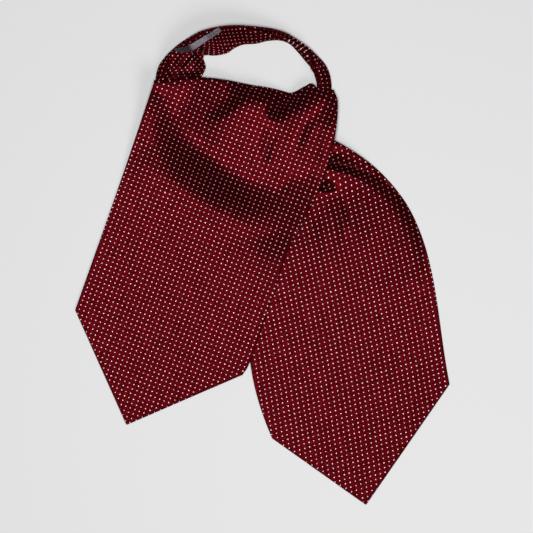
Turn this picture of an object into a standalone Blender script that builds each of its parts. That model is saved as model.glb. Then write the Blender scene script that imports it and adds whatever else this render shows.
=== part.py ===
"""A silk day cravat laid flat: a pleated neckband curled into a loop, with its two wide pointed
blades crossed in front of it. The upper blade is turned over the crossing and falls to the lower
left, and the lower blade fans out from under it to the lower right.

Plan sizes are millimetres from the middle of the cravat, X to the right and Y towards the loop.
Heights are millimetres above the surface that it lies on. Meshes are made in metres.
"""

from typing import NamedTuple

import bpy
import numpy as np

MM = 0.001

# Cloth
BLADE_CLOTH = 1.8  # two silk plies over an interlining
BAND_CLOTH = 1.5  # one ply of the neckband with its interlining
RIBBON_CLOTH = 0.8
SEAM_GAP = 0.3

# Front blade, from its right-angled point up to the fold that it hangs from
FRONT_TIP = (-120.4, -141.6)
FRONT_LEFT_EDGE = ((-165.6, -40.3), (-132.0, 54.9), (-98.4, 150.0), (-97.2, 162.5))
FRONT_RIGHT_EDGE = (
    (-18.0, -97.2), (-11.0, -84.5), (6.0, -35.5), (24.4, 17.5), (51.5, 71.0), (63.5, 113.0),
    (66.0, 142.0), (63.3, 157.5),
)
FOLD_LINE = (
    (-97.2, 162.5), (-86.0, 163.6), (-72.0, 166.0), (-55.5, 166.6), (-33.0, 164.2), (-11.0, 160.0),
    (7.0, 157.0), (18.0, 154.3), (24.4, 152.8), (31.0, 154.6), (37.5, 158.2), (43.5, 160.4),
    (49.5, 159.0), (56.0, 158.6), (63.3, 157.5),
)
FOLD_RADIUS = 1.6
FOLD_STEP = 1.5  # how far before the fold the cloth's slope is measured
FOLD_STEEPEST = 0.9  # steepest slope that the fold starts from, in radians

# How the cloth turns under along the fold. It lies on the neckband's left end, runs down through
# the loop in the middle, and ends just over the neckband's right end.
TURN_UNDER = {
    "x": (-100.0, -53.5, -43.5, 34.0, 43.0, 48.0, 70.0),
    "turn": (180.0, 180.0, 112.0, 112.0, 90.0, 70.0, 70.0),
    "length": (7.0, 7.0, 40.0, 40.0, 6.0, 1.0, 1.0),
}
TURN_UNDER_FOOT = 1.4

# Rear blade, from its point up to the pleats at its neck
REAR_TIP = (92.0, -212.7)
REAR_SHOULDERS = ((9.3, -154.0), (165.8, -106.1))
REAR_OUTER_HANDLES = ((148.8, -21.4), (159.6, 62.1))
REAR_OUTER_END = (62.8, 110.0)
REAR_INNER_HANDLES = ((-49.0, -19.0), (34.0, 20.0))
REAR_NECK = ((44.0, 62.0), (57.4, 107.6))
REAR_GATHER = 1.7  # how much closer the inner edge's rows come together at the neck

# Where the front blade rests on the rear blade, and steps down beside it to the surface
REST_GAP = 0.35
REST_REACH = 4.5
STEP_WIDTH = 34.0

# Rise of the front blade over the crossing of the neckband's ends. Inside the brow line the cloth
# lies on the crossing, at the crown's height. Outside it falls over the fall width to its foot.
BROW = (
    (-97.5, 163.5), (-86.2, 156.4), (-77.3, 148.3), (-70.2, 137.6), (-62.5, 123.0), (-52.0, 109.5),
    (-39.5, 97.0), (-25.2, 85.5), (-9.5, 77.0), (5.8, 73.5), (18.2, 76.0), (26.0, 86.4),
    (30.5, 103.0), (34.5, 119.7), (43.3, 133.0), (53.0, 146.4), (57.0, 160.0),
)
FALL_WIDTH = (
    26.0, 30.0, 36.0, 42.0, 48.0, 46.0, 43.0, 41.0, 39.0, 38.0, 36.0, 26.0, 18.0, 14.0, 13.0, 13.0, 13.0,
)
FALL_FOOT = (
    8.0, 8.0, 7.0, 5.0, 2.0, 0.0, 0.0, 1.0, 4.5, 8.5, 11.5, 14.0, 15.0, 15.0, 13.0, 9.0, 6.0,
)
FOOT_REACH = 60.0  # how far beyond the fall its foot fades away
FALL_POWER = 1.5  # above 1, the fall is steepest at the brow
BROW_RADIUS = 7.0
CROWN = {"level": 20.2, "decline": 0.155, "start": 108.0, "bend": 12.0}

# Folds of the front blade: the places along each, its height there, and its half-width. Where the
# left side of a fold differs, it has a half-width of its own.
FRONT_FOLDS = {
    "left end": {
        "path": ((-98, 168), (-80, 158), (-60, 150)),
        "height": (3.9, 3.2, 0.0),
        "width": 15.0,
    },
    "top edge sag": {
        "path": ((52, 166), (42, 166), (34, 161), (24.4, 158), (10, 161), (-10, 165), (-34, 170)),
        "height": (0.0, -6.0, -12.0, -13.0, -12.0, -8.0, 0.0),
        "width": 11.0,
    },
    "bowl": {
        "path": ((27, 148), (20, 144), (13, 137), (8, 128)),
        "height": (-4.0, -6.0, -5.0, 0.0),
        "width": 6.5,
    },
    "diagonal step": {
        "path": ((-10.7, 150), (-20.5, 138.7), (-36.5, 128), (-54, 123)),
        "height": (4.4, 4.2, 2.4, 0.0),
        "width": 7.0,
        "left": 26.0,
    },
}

# Pleats of the rear blade, which open out from its neck. The power is 2 for an evenly rounded
# crest, and a higher one makes the right side of the pleat steeper.
REAR_FOLDS = {
    "main pleat": {
        "path": ((137.5, -31.4), (132.2, -11.8), (126.8, 6), (120.6, 23.7), (113.5, 42),
                 (102.8, 56.5), (88.6, 67.5), (76.2, 73.5), (64.6, 77), (44, 80), (26, 82), (8, 84)),
        "height": (0.0, 1.4, 3.8, 6.4, 8.6, 10.2, 11.4, 12.4, 13.0, 13.0, 13.0, 13.0),
        "width": (18.0, 18.0, 17.0, 16.0, 15.0, 13.5, 12.0, 11.0, 10.5, 10.5, 10.5, 10.5),
        "left": 52.0,
        "power": 3.6,
    },
    "edge pleat": {
        "path": ((110, 70), (97, 84.5), (81, 95.5), (66, 101), (50, 104), (32, 105), (14, 106)),
        "height": (0.0, 2.4, 5.4, 7.0, 7.0, 7.0, 7.0),
        "width": 12.0,
        "left": 8.0,
        "power": 3.4,
    },
}

FACING_AT = (0.0, 0.3, 0.6, 0.85, 1.0)


class BandSection(NamedTuple):
    """One section across the neckband."""

    outer: tuple  # its outer edge seen from above
    inner: tuple  # its inner edge seen from above
    seam: float  # how far across from the inner edge the facing reaches
    facing: tuple  # heights of the facing at the places in FACING_AT
    rim: float  # height at which the pleated outside is widest


# From the band's left end round to its right
BAND_SECTIONS = (
    BandSection((-92.5, 150.0), (-59.5, 150.0), 0.84, (3.6, 6.0, 5.6, 6.8, 6.2), 3.2),
    BandSection((-95.6, 163.0), (-55.6, 164.6), 0.82, (3.6, 6.6, 5.8, 7.2, 6.6), 3.4),
    BandSection((-93.8, 174.6), (-50.6, 174.8), 0.80, (3.6, 7.4, 6.2, 8.0, 7.8), 3.8),
    BandSection((-87.6, 184.4), (-52.6, 183.4), 0.80, (3.6, 6.8, 6.0, 8.6, 9.6), 5.0),
    BandSection((-80.2, 191.8), (-50.4, 186.4), 0.82, (3.6, 5.2, 6.4, 9.8, 12.0), 6.6),
    BandSection((-69.4, 199.8), (-41.3, 186.1), 0.84, (3.6, 4.8, 7.4, 11.8, 14.6), 8.6),
    BandSection((-55.2, 207.2), (-31.6, 188.2), 0.90, (3.6, 5.2, 8.8, 13.6, 16.8), 10.6),
    BandSection((-39.6, 211.2), (-25.0, 192.4), 1.00, (3.6, 6.2, 10.6, 15.2, 18.0), 12.0),
    BandSection((-23.6, 212.6), (-17.0, 195.6), 1.00, (3.6, 7.2, 12.0, 16.0, 18.2), 12.4),
    BandSection((-7.6, 211.6), (-5.8, 196.4), 1.00, (3.6, 7.4, 11.8, 15.2, 17.0), 12.0),
    BandSection((6.9, 210.0), (4.9, 198.8), 0.80, (3.6, 6.8, 10.2, 12.8, 14.2), 9.4),
    BandSection((20.2, 206.6), (15.4, 199.2), 0.73, (3.6, 6.2, 8.8, 10.8, 12.0), 6.8),
    BandSection((31.8, 200.0), (24.2, 196.0), 0.70, (3.6, 5.6, 7.8, 9.6, 10.8), 4.6),
    BandSection((41.6, 193.2), (32.2, 188.2), 0.58, (3.6, 5.2, 7.2, 9.0, 10.4), 3.6),
    BandSection((50.4, 185.3), (38.2, 180.8), 0.32, (3.6, 5.2, 7.2, 8.8, 10.4), 3.2),
    BandSection((57.2, 177.6), (43.8, 174.0), 0.10, (3.6, 5.2, 7.0, 8.6, 10.0), 3.0),
    BandSection((61.0, 169.0), (46.6, 167.2), 0.08, (3.6, 4.6, 6.0, 7.4, 8.5), 3.0),
    BandSection((62.4, 160.0), (48.4, 159.4), 0.08, (3.6, 4.6, 6.0, 7.4, 8.5), 3.0),
    BandSection((62.0, 150.0), (48.6, 150.0), 0.08, (3.6, 4.6, 6.0, 7.4, 8.5), 3.0),
)
BAND_EDGE_ROLL = 2.7  # least width of the roll at the pleated outside's seam

# Label strip: bare, sewn at its ends near the band's outer edge
LABEL = {"first_section": 3.7, "last_section": 7.1, "across": (0.80, 1.0)}

# Folded layers hidden under the front blade, where the band's two ends cross
KNOT_CENTRE = (0.0, 105.0)
KNOT_OUTLINE = (
    (-91.0, 149.4), (-58.0, 149.4), (-53.0, 146.2), (-40.0, 141.0), (0.0, 139.0), (30.0, 140.5),
    (43.5, 145.6), (49.4, 149.4), (61.2, 149.4), (60.0, 128.0), (56.4, 108.6), (49.6, 85.0),
    (42.8, 62.4), (24.0, 61.0), (0.0, 60.0), (-30.0, 62.0), (-58.0, 74.0), (-80.0, 100.0),
    (-90.0, 125.0),
)
KNOT_CLEARANCE = 1.5
KNOT_LAYERS = 3
KNOT_LAYER_STEP = 0.9

# How many places each drawn line is measured at
BROW_COUNT = 61
FOLD_COUNT = 25

# Grid sizes
FRONT_GRID = (27, 34)
FRONT_ROLL_ROWS = 6
FRONT_RETURN_ROWS = 4
REAR_GRID = (25, 30)
BAND_SECTION_COUNT = 42
BAND_UPPER_ROWS = 7
BAND_LOWER_ROWS = 5
BAND_UNDER_ROWS = 4
KNOT_SPOKES = 64

# Finishes: colour, roughness
FINISHES = {
    "burgundy silk": ((0.127, 0.0055, 0.0115), 0.42),
    "burgundy silk facing": ((0.120, 0.0052, 0.0110), 0.45),
    "grey ribbon": ((0.36, 0.34, 0.34), 0.60),
    "burgundy underlayers": ((0.085, 0.0040, 0.0080), 0.55),
}


def unit(vectors):
    """Vectors scaled to length one."""
    return vectors / np.maximum(np.linalg.norm(vectors, axis=-1, keepdims=True), 1e-12)


def along(points, fractions):
    """Places on the polyline through points, at fractions of its length."""
    points = np.asarray(points, float)
    steps = np.linalg.norm(np.diff(points, axis=0), axis=1)
    reached = np.concatenate(([0.0], np.cumsum(steps))) / steps.sum()
    return np.stack([np.interp(fractions, reached, axis) for axis in points.T], axis=-1)


def spline_corners(rows, index):
    """The four rows that shape a smooth curve just after each row in index."""
    padded = np.vstack((2 * rows[0] - rows[1], rows, 2 * rows[-1] - rows[-2]))
    return (padded[index + k] for k in range(4))


def spline(a, b, c, d, t):
    """Smooth curve from b to c, with a before them and d after them."""
    bend = 2 * a - 5 * b + 4 * c - d
    twist = 3 * b - a - 3 * c + d
    return 0.5 * (2 * b + (c - a) * t + bend * t**2 + twist * t**3)


def smooth_through(points, count):
    """A smooth curve of count places through points, evenly spread by length."""
    points = np.asarray(points, float)
    places = np.linspace(0, len(points) - 1, 12 * (len(points) - 1) + 1)
    index = np.clip(places.astype(int), 0, len(points) - 2)
    curve = spline(*spline_corners(points, index), (places - index)[:, None])
    return along(curve, np.linspace(0, 1, count))


def bezier(start, first_handle, second_handle, end, count):
    """Places on a cubic curve."""
    t = np.linspace(0, 1, count)[:, None]
    corners = [np.asarray(corner, float) for corner in (start, first_handle, second_handle, end)]
    weights = ((1 - t) ** 3, 3 * (1 - t) ** 2 * t, 3 * (1 - t) * t**2, t**3)
    return sum(weight * corner for weight, corner in zip(weights, corners))


def patch(left, right, bottom, top):
    """A grid of places spanned between four edge curves, as rows from bottom to top."""
    q = np.linspace(0, 1, len(bottom))[None, :, None]
    s = np.linspace(0, 1, len(left))[:, None, None]
    sides = (1 - q) * left[:, None] + q * right[:, None]
    ends = (1 - s) * bottom[None] + s * top[None]
    corners = (1 - s) * ((1 - q) * bottom[0] + q * bottom[-1]) + s * ((1 - q) * top[0] + q * top[-1])
    return sides + ends - corners


def distance_and_place(xy, path):
    """For each place, its distance to a polyline and how far along it the nearest point is."""
    path = np.asarray(path, float)
    best = np.full(xy.shape[:-1], np.inf)
    place = np.zeros(xy.shape[:-1])
    for index, (start, end) in enumerate(zip(path, path[1:])):
        run = end - start
        t = np.clip(((xy - start) @ run) / (run @ run), 0, 1)
        gap = np.linalg.norm(xy - start - t[..., None] * run, axis=-1)
        nearer = gap < best
        best = np.where(nearer, gap, best)
        place = np.where(nearer, index + t, place)
    return best, place


def smooth_read(values, place):
    """Evenly spaced values read smoothly at places from 0 to 1, level at both ends."""
    values = np.atleast_1d(np.asarray(values, float))
    if len(values) == 1:
        return np.full(place.shape, values[0])
    places = np.clip(place, 0, 1) * (len(values) - 1)
    index = np.clip(places.astype(int), 0, len(values) - 2)
    padded = np.concatenate((values[1:2], values, values[-2:-1]))
    return spline(*(padded[index + k] for k in range(4)), places - index)


def side_of(xy, path, place):
    """A positive number for each place on the path's left, and a negative one on its right."""
    index = np.clip(place.astype(int), 0, len(path) - 2)
    run = np.diff(path, axis=0)[index]
    offset = xy - path[index]
    return run[..., 0] * offset[..., 1] - run[..., 1] * offset[..., 0]


def fold_relief(xy, folds):
    """Sum of soft folds, each highest along its own path."""
    total = np.zeros(xy.shape[:-1])
    for fold in folds.values():
        path = smooth_through(fold["path"], FOLD_COUNT)
        gap, place = distance_and_place(xy, path)
        height = smooth_read(fold["height"], place / (FOLD_COUNT - 1))
        width = smooth_read(fold["width"], place / (FOLD_COUNT - 1))
        on_left = side_of(xy, path, place) > 0
        width = np.where(on_left, fold.get("left", width), width)
        power = np.where(on_left, 2.0, fold.get("power", 2.0))
        total += height * np.exp(-((gap / width) ** power))
    return total


def ease(value):
    """Smooth ramp from 0 to 1."""
    value = np.clip(value, 0, 1)
    return value * value * (3 - 2 * value)


def slope_factor(surface, xy):
    """Vertical thickness of a sloped sheet for each unit of its real thickness."""
    step = 0.5
    dx = (surface(xy + (step, 0)) - surface(xy - (step, 0))) / (2 * step)
    dy = (surface(xy + (0, step)) - surface(xy - (0, step))) / (2 * step)
    return np.sqrt(1 + dx**2 + dy**2)


def rear_underside(xy):
    """Height of the rear blade's underside."""
    relief = fold_relief(xy, REAR_FOLDS)
    return np.maximum(relief - 0.35, 0.0) * ease(relief / 1.2)


def rear_edges(count):
    """The rear blade's hidden inner edge and its outer edge, from shoulder to neck."""
    inner = bezier(REAR_SHOULDERS[0], *REAR_INNER_HANDLES, REAR_NECK[0], 40)
    outer = bezier(REAR_SHOULDERS[1], *REAR_OUTER_HANDLES, REAR_OUTER_END, 40)
    outer = np.vstack((outer, REAR_NECK[1]))
    fractions = np.linspace(0, 1, count)
    return along(inner, 1 - (1 - fractions) ** REAR_GATHER), along(outer, fractions)


def over_rear(xy):
    """Least height of the front blade's underside that clears the rear blade."""
    inner, outer = rear_edges(40)
    gap, place = distance_and_place(xy, inner)
    index = np.clip(place.astype(int), 0, len(inner) - 2)
    run = inner[index + 1] - inner[index]
    offset = xy - inner[index]
    side = run[..., 0] * offset[..., 1] - run[..., 1] * offset[..., 0]
    outside = np.where(side > 0, gap, 0.0)
    top = np.maximum.reduce([
        rear_underside(xy + near) + BLADE_CLOTH * slope_factor(rear_underside, xy + near)
        for near in REST_REACH * np.array(((0, 0), (1, 0), (-1, 0), (0, 1), (0, -1)))
    ])
    return (top + REST_GAP) * (1 - ease((outside - REST_REACH) / STEP_WIDTH))


def front_underside(xy):
    """Height of the front blade's underside."""
    brow = smooth_through(BROW, BROW_COUNT)
    gap, place = distance_and_place(xy, brow)
    inside = side_of(xy, brow, place) > 0
    share = place / (BROW_COUNT - 1)
    width = smooth_read(FALL_WIDTH, share)
    rounded = np.hypot(gap, BROW_RADIUS) - BROW_RADIUS
    fall = 1 - (1 - np.clip(np.where(inside, 0.0, rounded) / width, 0, 1)) ** FALL_POWER
    foot = smooth_read(FALL_FOOT, share) * (1 - ease((gap - width) / FOOT_REACH))
    beyond = xy[..., 1] - CROWN["start"]
    crown = CROWN["level"] - CROWN["decline"] * 0.5 * (beyond + np.hypot(beyond, CROWN["bend"]))
    raised = crown + (foot - crown) * fall + fold_relief(xy, FRONT_FOLDS)
    raised = np.maximum(raised - 0.25, 0.0)
    return (raised**4 + over_rear(xy) ** 4) ** 0.25


def grid_normals(grid):
    """Unit normals of a grid of places."""
    rows = np.gradient(grid, axis=0)
    columns = np.gradient(grid, axis=1)
    return unit(np.cross(columns, rows))


def raise_to(xy, heights):
    """Plan places with heights added."""
    return np.concatenate((xy, heights[..., None]), axis=-1)


def make_finish(name):
    """A plain material."""
    colour, roughness = FINISHES[name]
    material = bpy.data.materials.new(name)
    material.use_nodes = True
    shader = material.node_tree.nodes["Principled BSDF"]
    shader.inputs["Base Color"].default_value = (*colour, 1.0)
    shader.inputs["Roughness"].default_value = roughness
    shader.inputs["Metallic"].default_value = 0.0
    return material


def make_object(name, vertices, faces, finish):
    """A mesh object whose faces look outwards."""
    vertices = np.asarray(vertices) * MM
    triangles = [(f[0], f[i], f[i + 1]) for f in faces for i in range(1, len(f) - 1)]
    a, b, c = (vertices[[t[k] for t in triangles]] for k in range(3))
    if np.einsum("ij,ij->i", a, np.cross(b, c)).sum() < 0:
        triangles = [t[::-1] for t in triangles]
    mesh = bpy.data.meshes.new(name)
    mesh.from_pydata([tuple(v) for v in vertices], [], triangles)
    mesh.materials.append(make_finish(finish))
    mesh.update()
    item = bpy.data.objects.new(name, mesh)
    bpy.context.scene.collection.objects.link(item)
    return item


def make_sheet(name, under, over, finish):
    """A closed sheet of cloth between two matching grids."""
    rows, columns = under.shape[:2]
    size = rows * columns
    number = np.arange(size).reshape(rows, columns)
    rim = np.concatenate((number[0, :-1], number[:-1, -1], number[-1, :0:-1], number[:0:-1, 0]))
    faces = []
    for r in range(rows - 1):
        for c in range(columns - 1):
            a, b, d, e = number[r, c], number[r, c + 1], number[r + 1, c + 1], number[r + 1, c]
            faces.append((a + size, b + size, d + size, e + size))
            faces.append((e, d, b, a))
    for a, b in zip(rim, np.roll(rim, -1)):
        faces.append((a, b, b + size, a + size))
    vertices = np.concatenate((under.reshape(-1, 3), over.reshape(-1, 3)))
    return make_object(name, vertices, faces, finish)


def front_grid():
    """The front blade's underside, from its point up over the fold and down behind it."""
    columns, rows = FRONT_GRID
    fold = smooth_through(FOLD_LINE, columns)
    turn = np.radians(np.interp(fold[:, 0], TURN_UNDER["x"], TURN_UNDER["turn"]))
    length = np.interp(fold[:, 0], TURN_UNDER["x"], TURN_UNDER["length"])
    roll = FOLD_RADIUS + BLADE_CLOTH
    crest = fold - (0, roll)
    rise = front_underside(crest) - front_underside(crest - (0, FOLD_STEP))
    entry = np.clip(np.arctan2(rise, FOLD_STEP), -FOLD_STEEPEST, FOLD_STEEPEST)
    top = crest - np.stack((np.zeros(columns), FOLD_RADIUS * np.sin(entry)), axis=-1)

    half = columns // 2 + 1
    bottom = np.vstack((
        np.linspace(FRONT_LEFT_EDGE[0], FRONT_TIP, half),
        np.linspace(FRONT_TIP, FRONT_RIGHT_EDGE[0], half)[1:],
    ))
    fractions = np.linspace(0, 1, rows) ** 0.9
    left = along(smooth_through((*FRONT_LEFT_EDGE[:-1], top[0]), 80), fractions)
    right = along(smooth_through((*FRONT_RIGHT_EDGE[:-1], top[-1]), 160), fractions)
    xy = patch(left, right, bottom, top)
    panel = raise_to(xy, front_underside(xy))

    start = panel[-1]
    centre_y = start[:, 1] + FOLD_RADIUS * np.sin(entry)
    centre_z = start[:, 2] - FOLD_RADIUS * np.cos(entry)
    lines = []
    for step in range(1, FRONT_ROLL_ROWS + 1):
        angle = -entry + (turn + entry) * step / FRONT_ROLL_ROWS
        lines.append(np.stack((
            start[:, 0],
            centre_y + FOLD_RADIUS * np.sin(angle),
            centre_z + FOLD_RADIUS * np.cos(angle),
        ), axis=-1))
    last = lines[-1]
    drop = np.maximum(np.sin(turn), 1e-6)
    length = np.minimum(length, (last[:, 2] - TURN_UNDER_FOOT) / drop)
    for step in range(1, FRONT_RETURN_ROWS + 1):
        reach = length * step / FRONT_RETURN_ROWS
        lines.append(last + np.stack((0 * reach, np.cos(turn) * reach, -np.sin(turn) * reach), axis=-1))
    return np.concatenate((panel, np.stack(lines)))


def rear_grid():
    """The rear blade's underside."""
    columns, rows = REAR_GRID
    half = columns // 2 + 1
    bottom = np.vstack((
        np.linspace(REAR_SHOULDERS[0], REAR_TIP, half),
        np.linspace(REAR_TIP, REAR_SHOULDERS[1], half)[1:],
    ))
    inner, outer = rear_edges(rows)
    xy = patch(inner, outer, bottom, np.linspace(*REAR_NECK, columns))
    return raise_to(xy, rear_underside(xy))


def band_sections(places):
    """Neckband sections at places along it, counted in listed sections from its left end."""
    table = np.array([(*row.outer, *row.inner, row.seam, *row.facing, row.rim) for row in BAND_SECTIONS])
    index = np.clip(places.astype(int), 0, len(table) - 2)
    sections = []
    for row in spline(*spline_corners(table, index), (places - index)[:, None]):
        outer, inner = row[0:2], row[2:4]
        width = np.linalg.norm(outer - inner)
        lean = BAND_CLOTH * np.sin(np.arctan2(row[9] - row[8], 0.15 * row[4] * width)) + 4 * SEAM_GAP
        seam = min(row[4] * width, width - BAND_EDGE_ROLL - lean)
        rim = min(row[10], row[9] - 3.2)
        sections.append({
            "inner": inner, "across": (outer - inner) / width, "width": width, "seam": seam,
            "roll": width - seam - lean, "facing": row[5:10], "rim": max(rim, 3.0),
        })
    return sections


def facing_grid(sections, fractions):
    """The facing's upper surface."""
    lines = []
    for section in sections:
        reach = fractions * section["seam"]
        heights = np.interp(fractions, FACING_AT, section["facing"])
        bent = np.interp(fractions, (0, 1), (section["facing"][0], section["facing"][-1]))
        heights = 0.85 * heights + 0.15 * bent
        xy = section["inner"] + reach[:, None] * section["across"]
        lines.append(raise_to(xy, heights))
    return np.stack(lines, axis=1)


def outside_profile(section, inset):
    """Reach and height round the pleated outside, drawn in by inset."""
    crown = section["facing"][-1]
    roll = section["roll"]
    foot = min(max(0.32 * section["width"], 3.4), 7.0)
    rim = section["rim"]
    upper = np.radians(np.linspace(0, 90, BAND_UPPER_ROWS))
    lower = np.radians(np.linspace(0, 90, BAND_LOWER_ROWS + 1)[1:])
    widest = section["width"]
    reach = np.concatenate((
        widest - roll + (roll - inset) * np.sin(upper),
        widest - foot + (foot - inset) * np.cos(lower),
        np.linspace(widest - foot, 0.6, BAND_UNDER_ROWS + 1)[1:],
    ))
    height = np.concatenate((
        rim + (crown - rim - inset) * np.cos(upper),
        rim - (rim - inset) * np.sin(lower),
        np.full(BAND_UNDER_ROWS, inset),
    ))
    return reach, height


def outside_grid(sections, inset):
    """The pleated outside's outer face, or its inner face where inset is the cloth's thickness."""
    lines = []
    for section in sections:
        reach, height = outside_profile(section, inset)
        lines.append(raise_to(section["inner"] + reach[:, None] * section["across"], height))
    return np.stack(lines, axis=1)


def build_front_blade():
    """Front blade: panel, fold and the cloth turned under behind it."""
    under = front_grid()
    over = under + BLADE_CLOTH * grid_normals(under)
    return make_sheet("front_blade", under, over, "burgundy silk")


def build_rear_blade():
    """Rear blade with its pleats."""
    under = rear_grid()
    over = under + BLADE_CLOTH * grid_normals(under)
    return make_sheet("rear_blade", under, over, "burgundy silk")


def build_neckband():
    """Neckband facing and the pleated outside that it is sewn to, with the label strip."""
    last = len(BAND_SECTIONS) - 1
    sections = band_sections(np.linspace(0, last, BAND_SECTION_COUNT))
    across = np.array((0.0, 0.15, 0.3, 0.45, 0.6, 0.7, 0.8, 0.87, 0.94, 1.0))
    facing = facing_grid(sections, across)
    normals = grid_normals(facing)
    normals *= np.sign(normals[..., 2].mean())
    make_sheet("neckband_facing", facing - BAND_CLOTH * normals, facing, "burgundy silk facing")
    outside = outside_grid(sections, 0.0)
    make_sheet("neckband_outer", outside_grid(sections, BAND_CLOTH), outside, "burgundy silk")

    places = np.linspace(0, last, BAND_SECTION_COUNT)
    chosen = (places > LABEL["first_section"]) & (places < LABEL["last_section"])
    strip = (across >= LABEL["across"][0]) & (across <= LABEL["across"][1])
    lift = normals[strip][:, chosen]
    seat = facing[strip][:, chosen] + SEAM_GAP * lift
    make_sheet("loop_label", seat, seat + RIBBON_CLOTH * lift, "grey ribbon")


def build_knot():
    """Hidden folded layers as one rounded solid, with a step at the edge for each layer."""
    centre = np.array(KNOT_CENTRE)
    outline = np.vstack((KNOT_OUTLINE, KNOT_OUTLINE[:1]))
    edge = along(outline, np.linspace(0, 1, KNOT_SPOKES + 1)[:-1])
    reach = np.linalg.norm(edge - centre, axis=1)

    def top(xy):
        return front_underside(xy) - KNOT_CLEARANCE * slope_factor(front_underside, xy)

    rings = []
    for fraction in (0.15, 0.3, 0.45, 0.58, 0.7, 0.8, 0.88, 0.95):
        xy = centre + fraction * (edge - centre)
        inset = (1 - fraction) * reach
        rounding = np.sqrt(1 - (1 - np.clip(inset / 7.0, 0, 1)) ** 2)
        rings.append(raise_to(xy, top(xy) * (0.55 + 0.45 * rounding)))
    side_top = 0.5 * top(edge)
    for level in range(2 * KNOT_LAYERS):
        share = 1 - (level + 0.5) / (2 * KNOT_LAYERS)
        step = KNOT_LAYER_STEP * (level % 2)
        xy = centre + (1 - step / reach)[:, None] * (edge - centre)
        rings.append(raise_to(xy, side_top * share))
    rings.append(raise_to(centre + (1 - 1.5 / reach)[:, None] * (edge - centre), np.zeros(KNOT_SPOKES)))
    rings.append(raise_to(centre + 0.5 * (edge - centre), np.zeros(KNOT_SPOKES)))

    vertices = np.concatenate((*rings, [(*centre, top(centre[None])[0]), (*centre, 0.0)]))
    crown, base = len(vertices) - 2, len(vertices) - 1
    last_ring = crown - KNOT_SPOKES
    faces = []
    for k in range(KNOT_SPOKES):
        n = (k + 1) % KNOT_SPOKES
        for ring in range(0, last_ring, KNOT_SPOKES):
            faces.append((ring + k, ring + n, ring + n + KNOT_SPOKES, ring + k + KNOT_SPOKES))
        faces.append((crown, n, k))
        faces.append((base, last_ring + k, last_ring + n))
    return make_object("knot_layers", vertices, faces, "burgundy underlayers")


for existing in list(bpy.data.objects):
    bpy.data.objects.remove(existing, do_unlink=True)

build_front_blade()
build_rear_blade()
build_neckband()
build_knot()
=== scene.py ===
"""A silk day cravat laid flat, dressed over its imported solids.

The neckband is curled into a loop at the top. The front blade comes up through the loop, turns over
the crossing of the band's ends and falls to the lower left. The rear blade fans out from under it
to the lower right. Every piece of cloth is a thin closed shell, worked out as a surface of two
parameters, with its cut laid out in a UV map that the woven pin dots follow.

Plan sizes are millimetres from the middle of the cravat, X to the right and Y towards the loop.
Heights are millimetres above the table. Meshes are made in metres.
"""

from __future__ import annotations

import logging
import math
from dataclasses import dataclass, field
from enum import Enum
from functools import cached_property
from typing import Callable, NamedTuple, Sequence

import bpy
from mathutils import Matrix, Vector
import numpy as np

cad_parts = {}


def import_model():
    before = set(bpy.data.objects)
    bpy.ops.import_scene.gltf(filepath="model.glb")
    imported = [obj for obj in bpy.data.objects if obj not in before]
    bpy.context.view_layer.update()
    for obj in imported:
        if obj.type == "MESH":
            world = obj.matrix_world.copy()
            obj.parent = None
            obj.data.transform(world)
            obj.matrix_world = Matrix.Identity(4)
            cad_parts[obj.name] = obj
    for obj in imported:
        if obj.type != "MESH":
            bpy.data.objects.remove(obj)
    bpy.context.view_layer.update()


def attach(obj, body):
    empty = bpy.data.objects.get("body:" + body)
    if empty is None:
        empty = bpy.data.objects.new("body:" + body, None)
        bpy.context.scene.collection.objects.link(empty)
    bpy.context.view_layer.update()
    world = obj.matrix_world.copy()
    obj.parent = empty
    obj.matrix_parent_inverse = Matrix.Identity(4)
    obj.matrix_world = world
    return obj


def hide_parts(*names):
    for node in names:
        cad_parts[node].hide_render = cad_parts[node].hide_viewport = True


MM = 0.001
LOG = logging.getLogger("cravat")
Path = Sequence[tuple[float, float]]

# Woven repeat: distance between pin dots across the cloth and along it
DOT_ACROSS = 4.32
DOT_ALONG = 4.13

# Fit between pieces
SEAM_GAP = 0.3

# Where a shell's rounded edge has its rings, in degrees down from its upper side
EDGE_ANGLES = (40.0, 90.0, 140.0)

# Blend of stretches of a path that are equally near: its softness as a share of the distance and
# at least, the distance at which it sets in, and the distance over which it does
BLEND_SHARE = 0.12
BLEND_LEAST = 0.8
BLEND_FROM = 10.0
BLEND_OVER = 20.0


class Lay(Enum):
    LAID = "laid"
    FOLDED = "folded"


@dataclass(frozen=True)
class Crease:
    """A soft ridge or trough in cloth, highest along its own path.

    Attributes:
        path: places along it, in plan millimetres.
        height: its height at even steps along the path. Troughs are negative.
        width: its half-width in millimetres at even steps along the path, on the path's right.
        left: its half-width on the path's left, where that differs.
        power: 2 for an evenly rounded crest. A higher power makes the right side steeper.
    """

    path: Path
    height: tuple[float, ...]
    width: float | tuple[float, ...]
    left: float | None = None
    power: float = 2.0

    def read(self, values: float | tuple[float, ...], place: np.ndarray) -> np.ndarray:
        """Return values read at places along the path, from 0 to 1."""
        return smooth_read(np.atleast_1d(values), place)


@dataclass
class Sheet:
    """A finished sheet of cloth and the cut that it was made from.

    Attributes:
        piece: its mesh object.
        flat: width and length of its cut, in metres.
        area: flat area of its cut, in square metres.
    """

    piece: bpy.types.Object
    flat: tuple[float, float]
    area: float


def unit(vectors: np.ndarray) -> np.ndarray:
    """Return vectors scaled to length one."""
    return vectors / np.maximum(np.linalg.norm(vectors, axis=-1, keepdims=True), 1e-12)


def ease(value: np.ndarray) -> np.ndarray:
    """Return a smooth ramp, 3v^2 - 2v^3 with v held between 0 and 1."""
    value = np.clip(value, 0.0, 1.0)
    return value * value * (3.0 - 2.0 * value)


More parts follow.
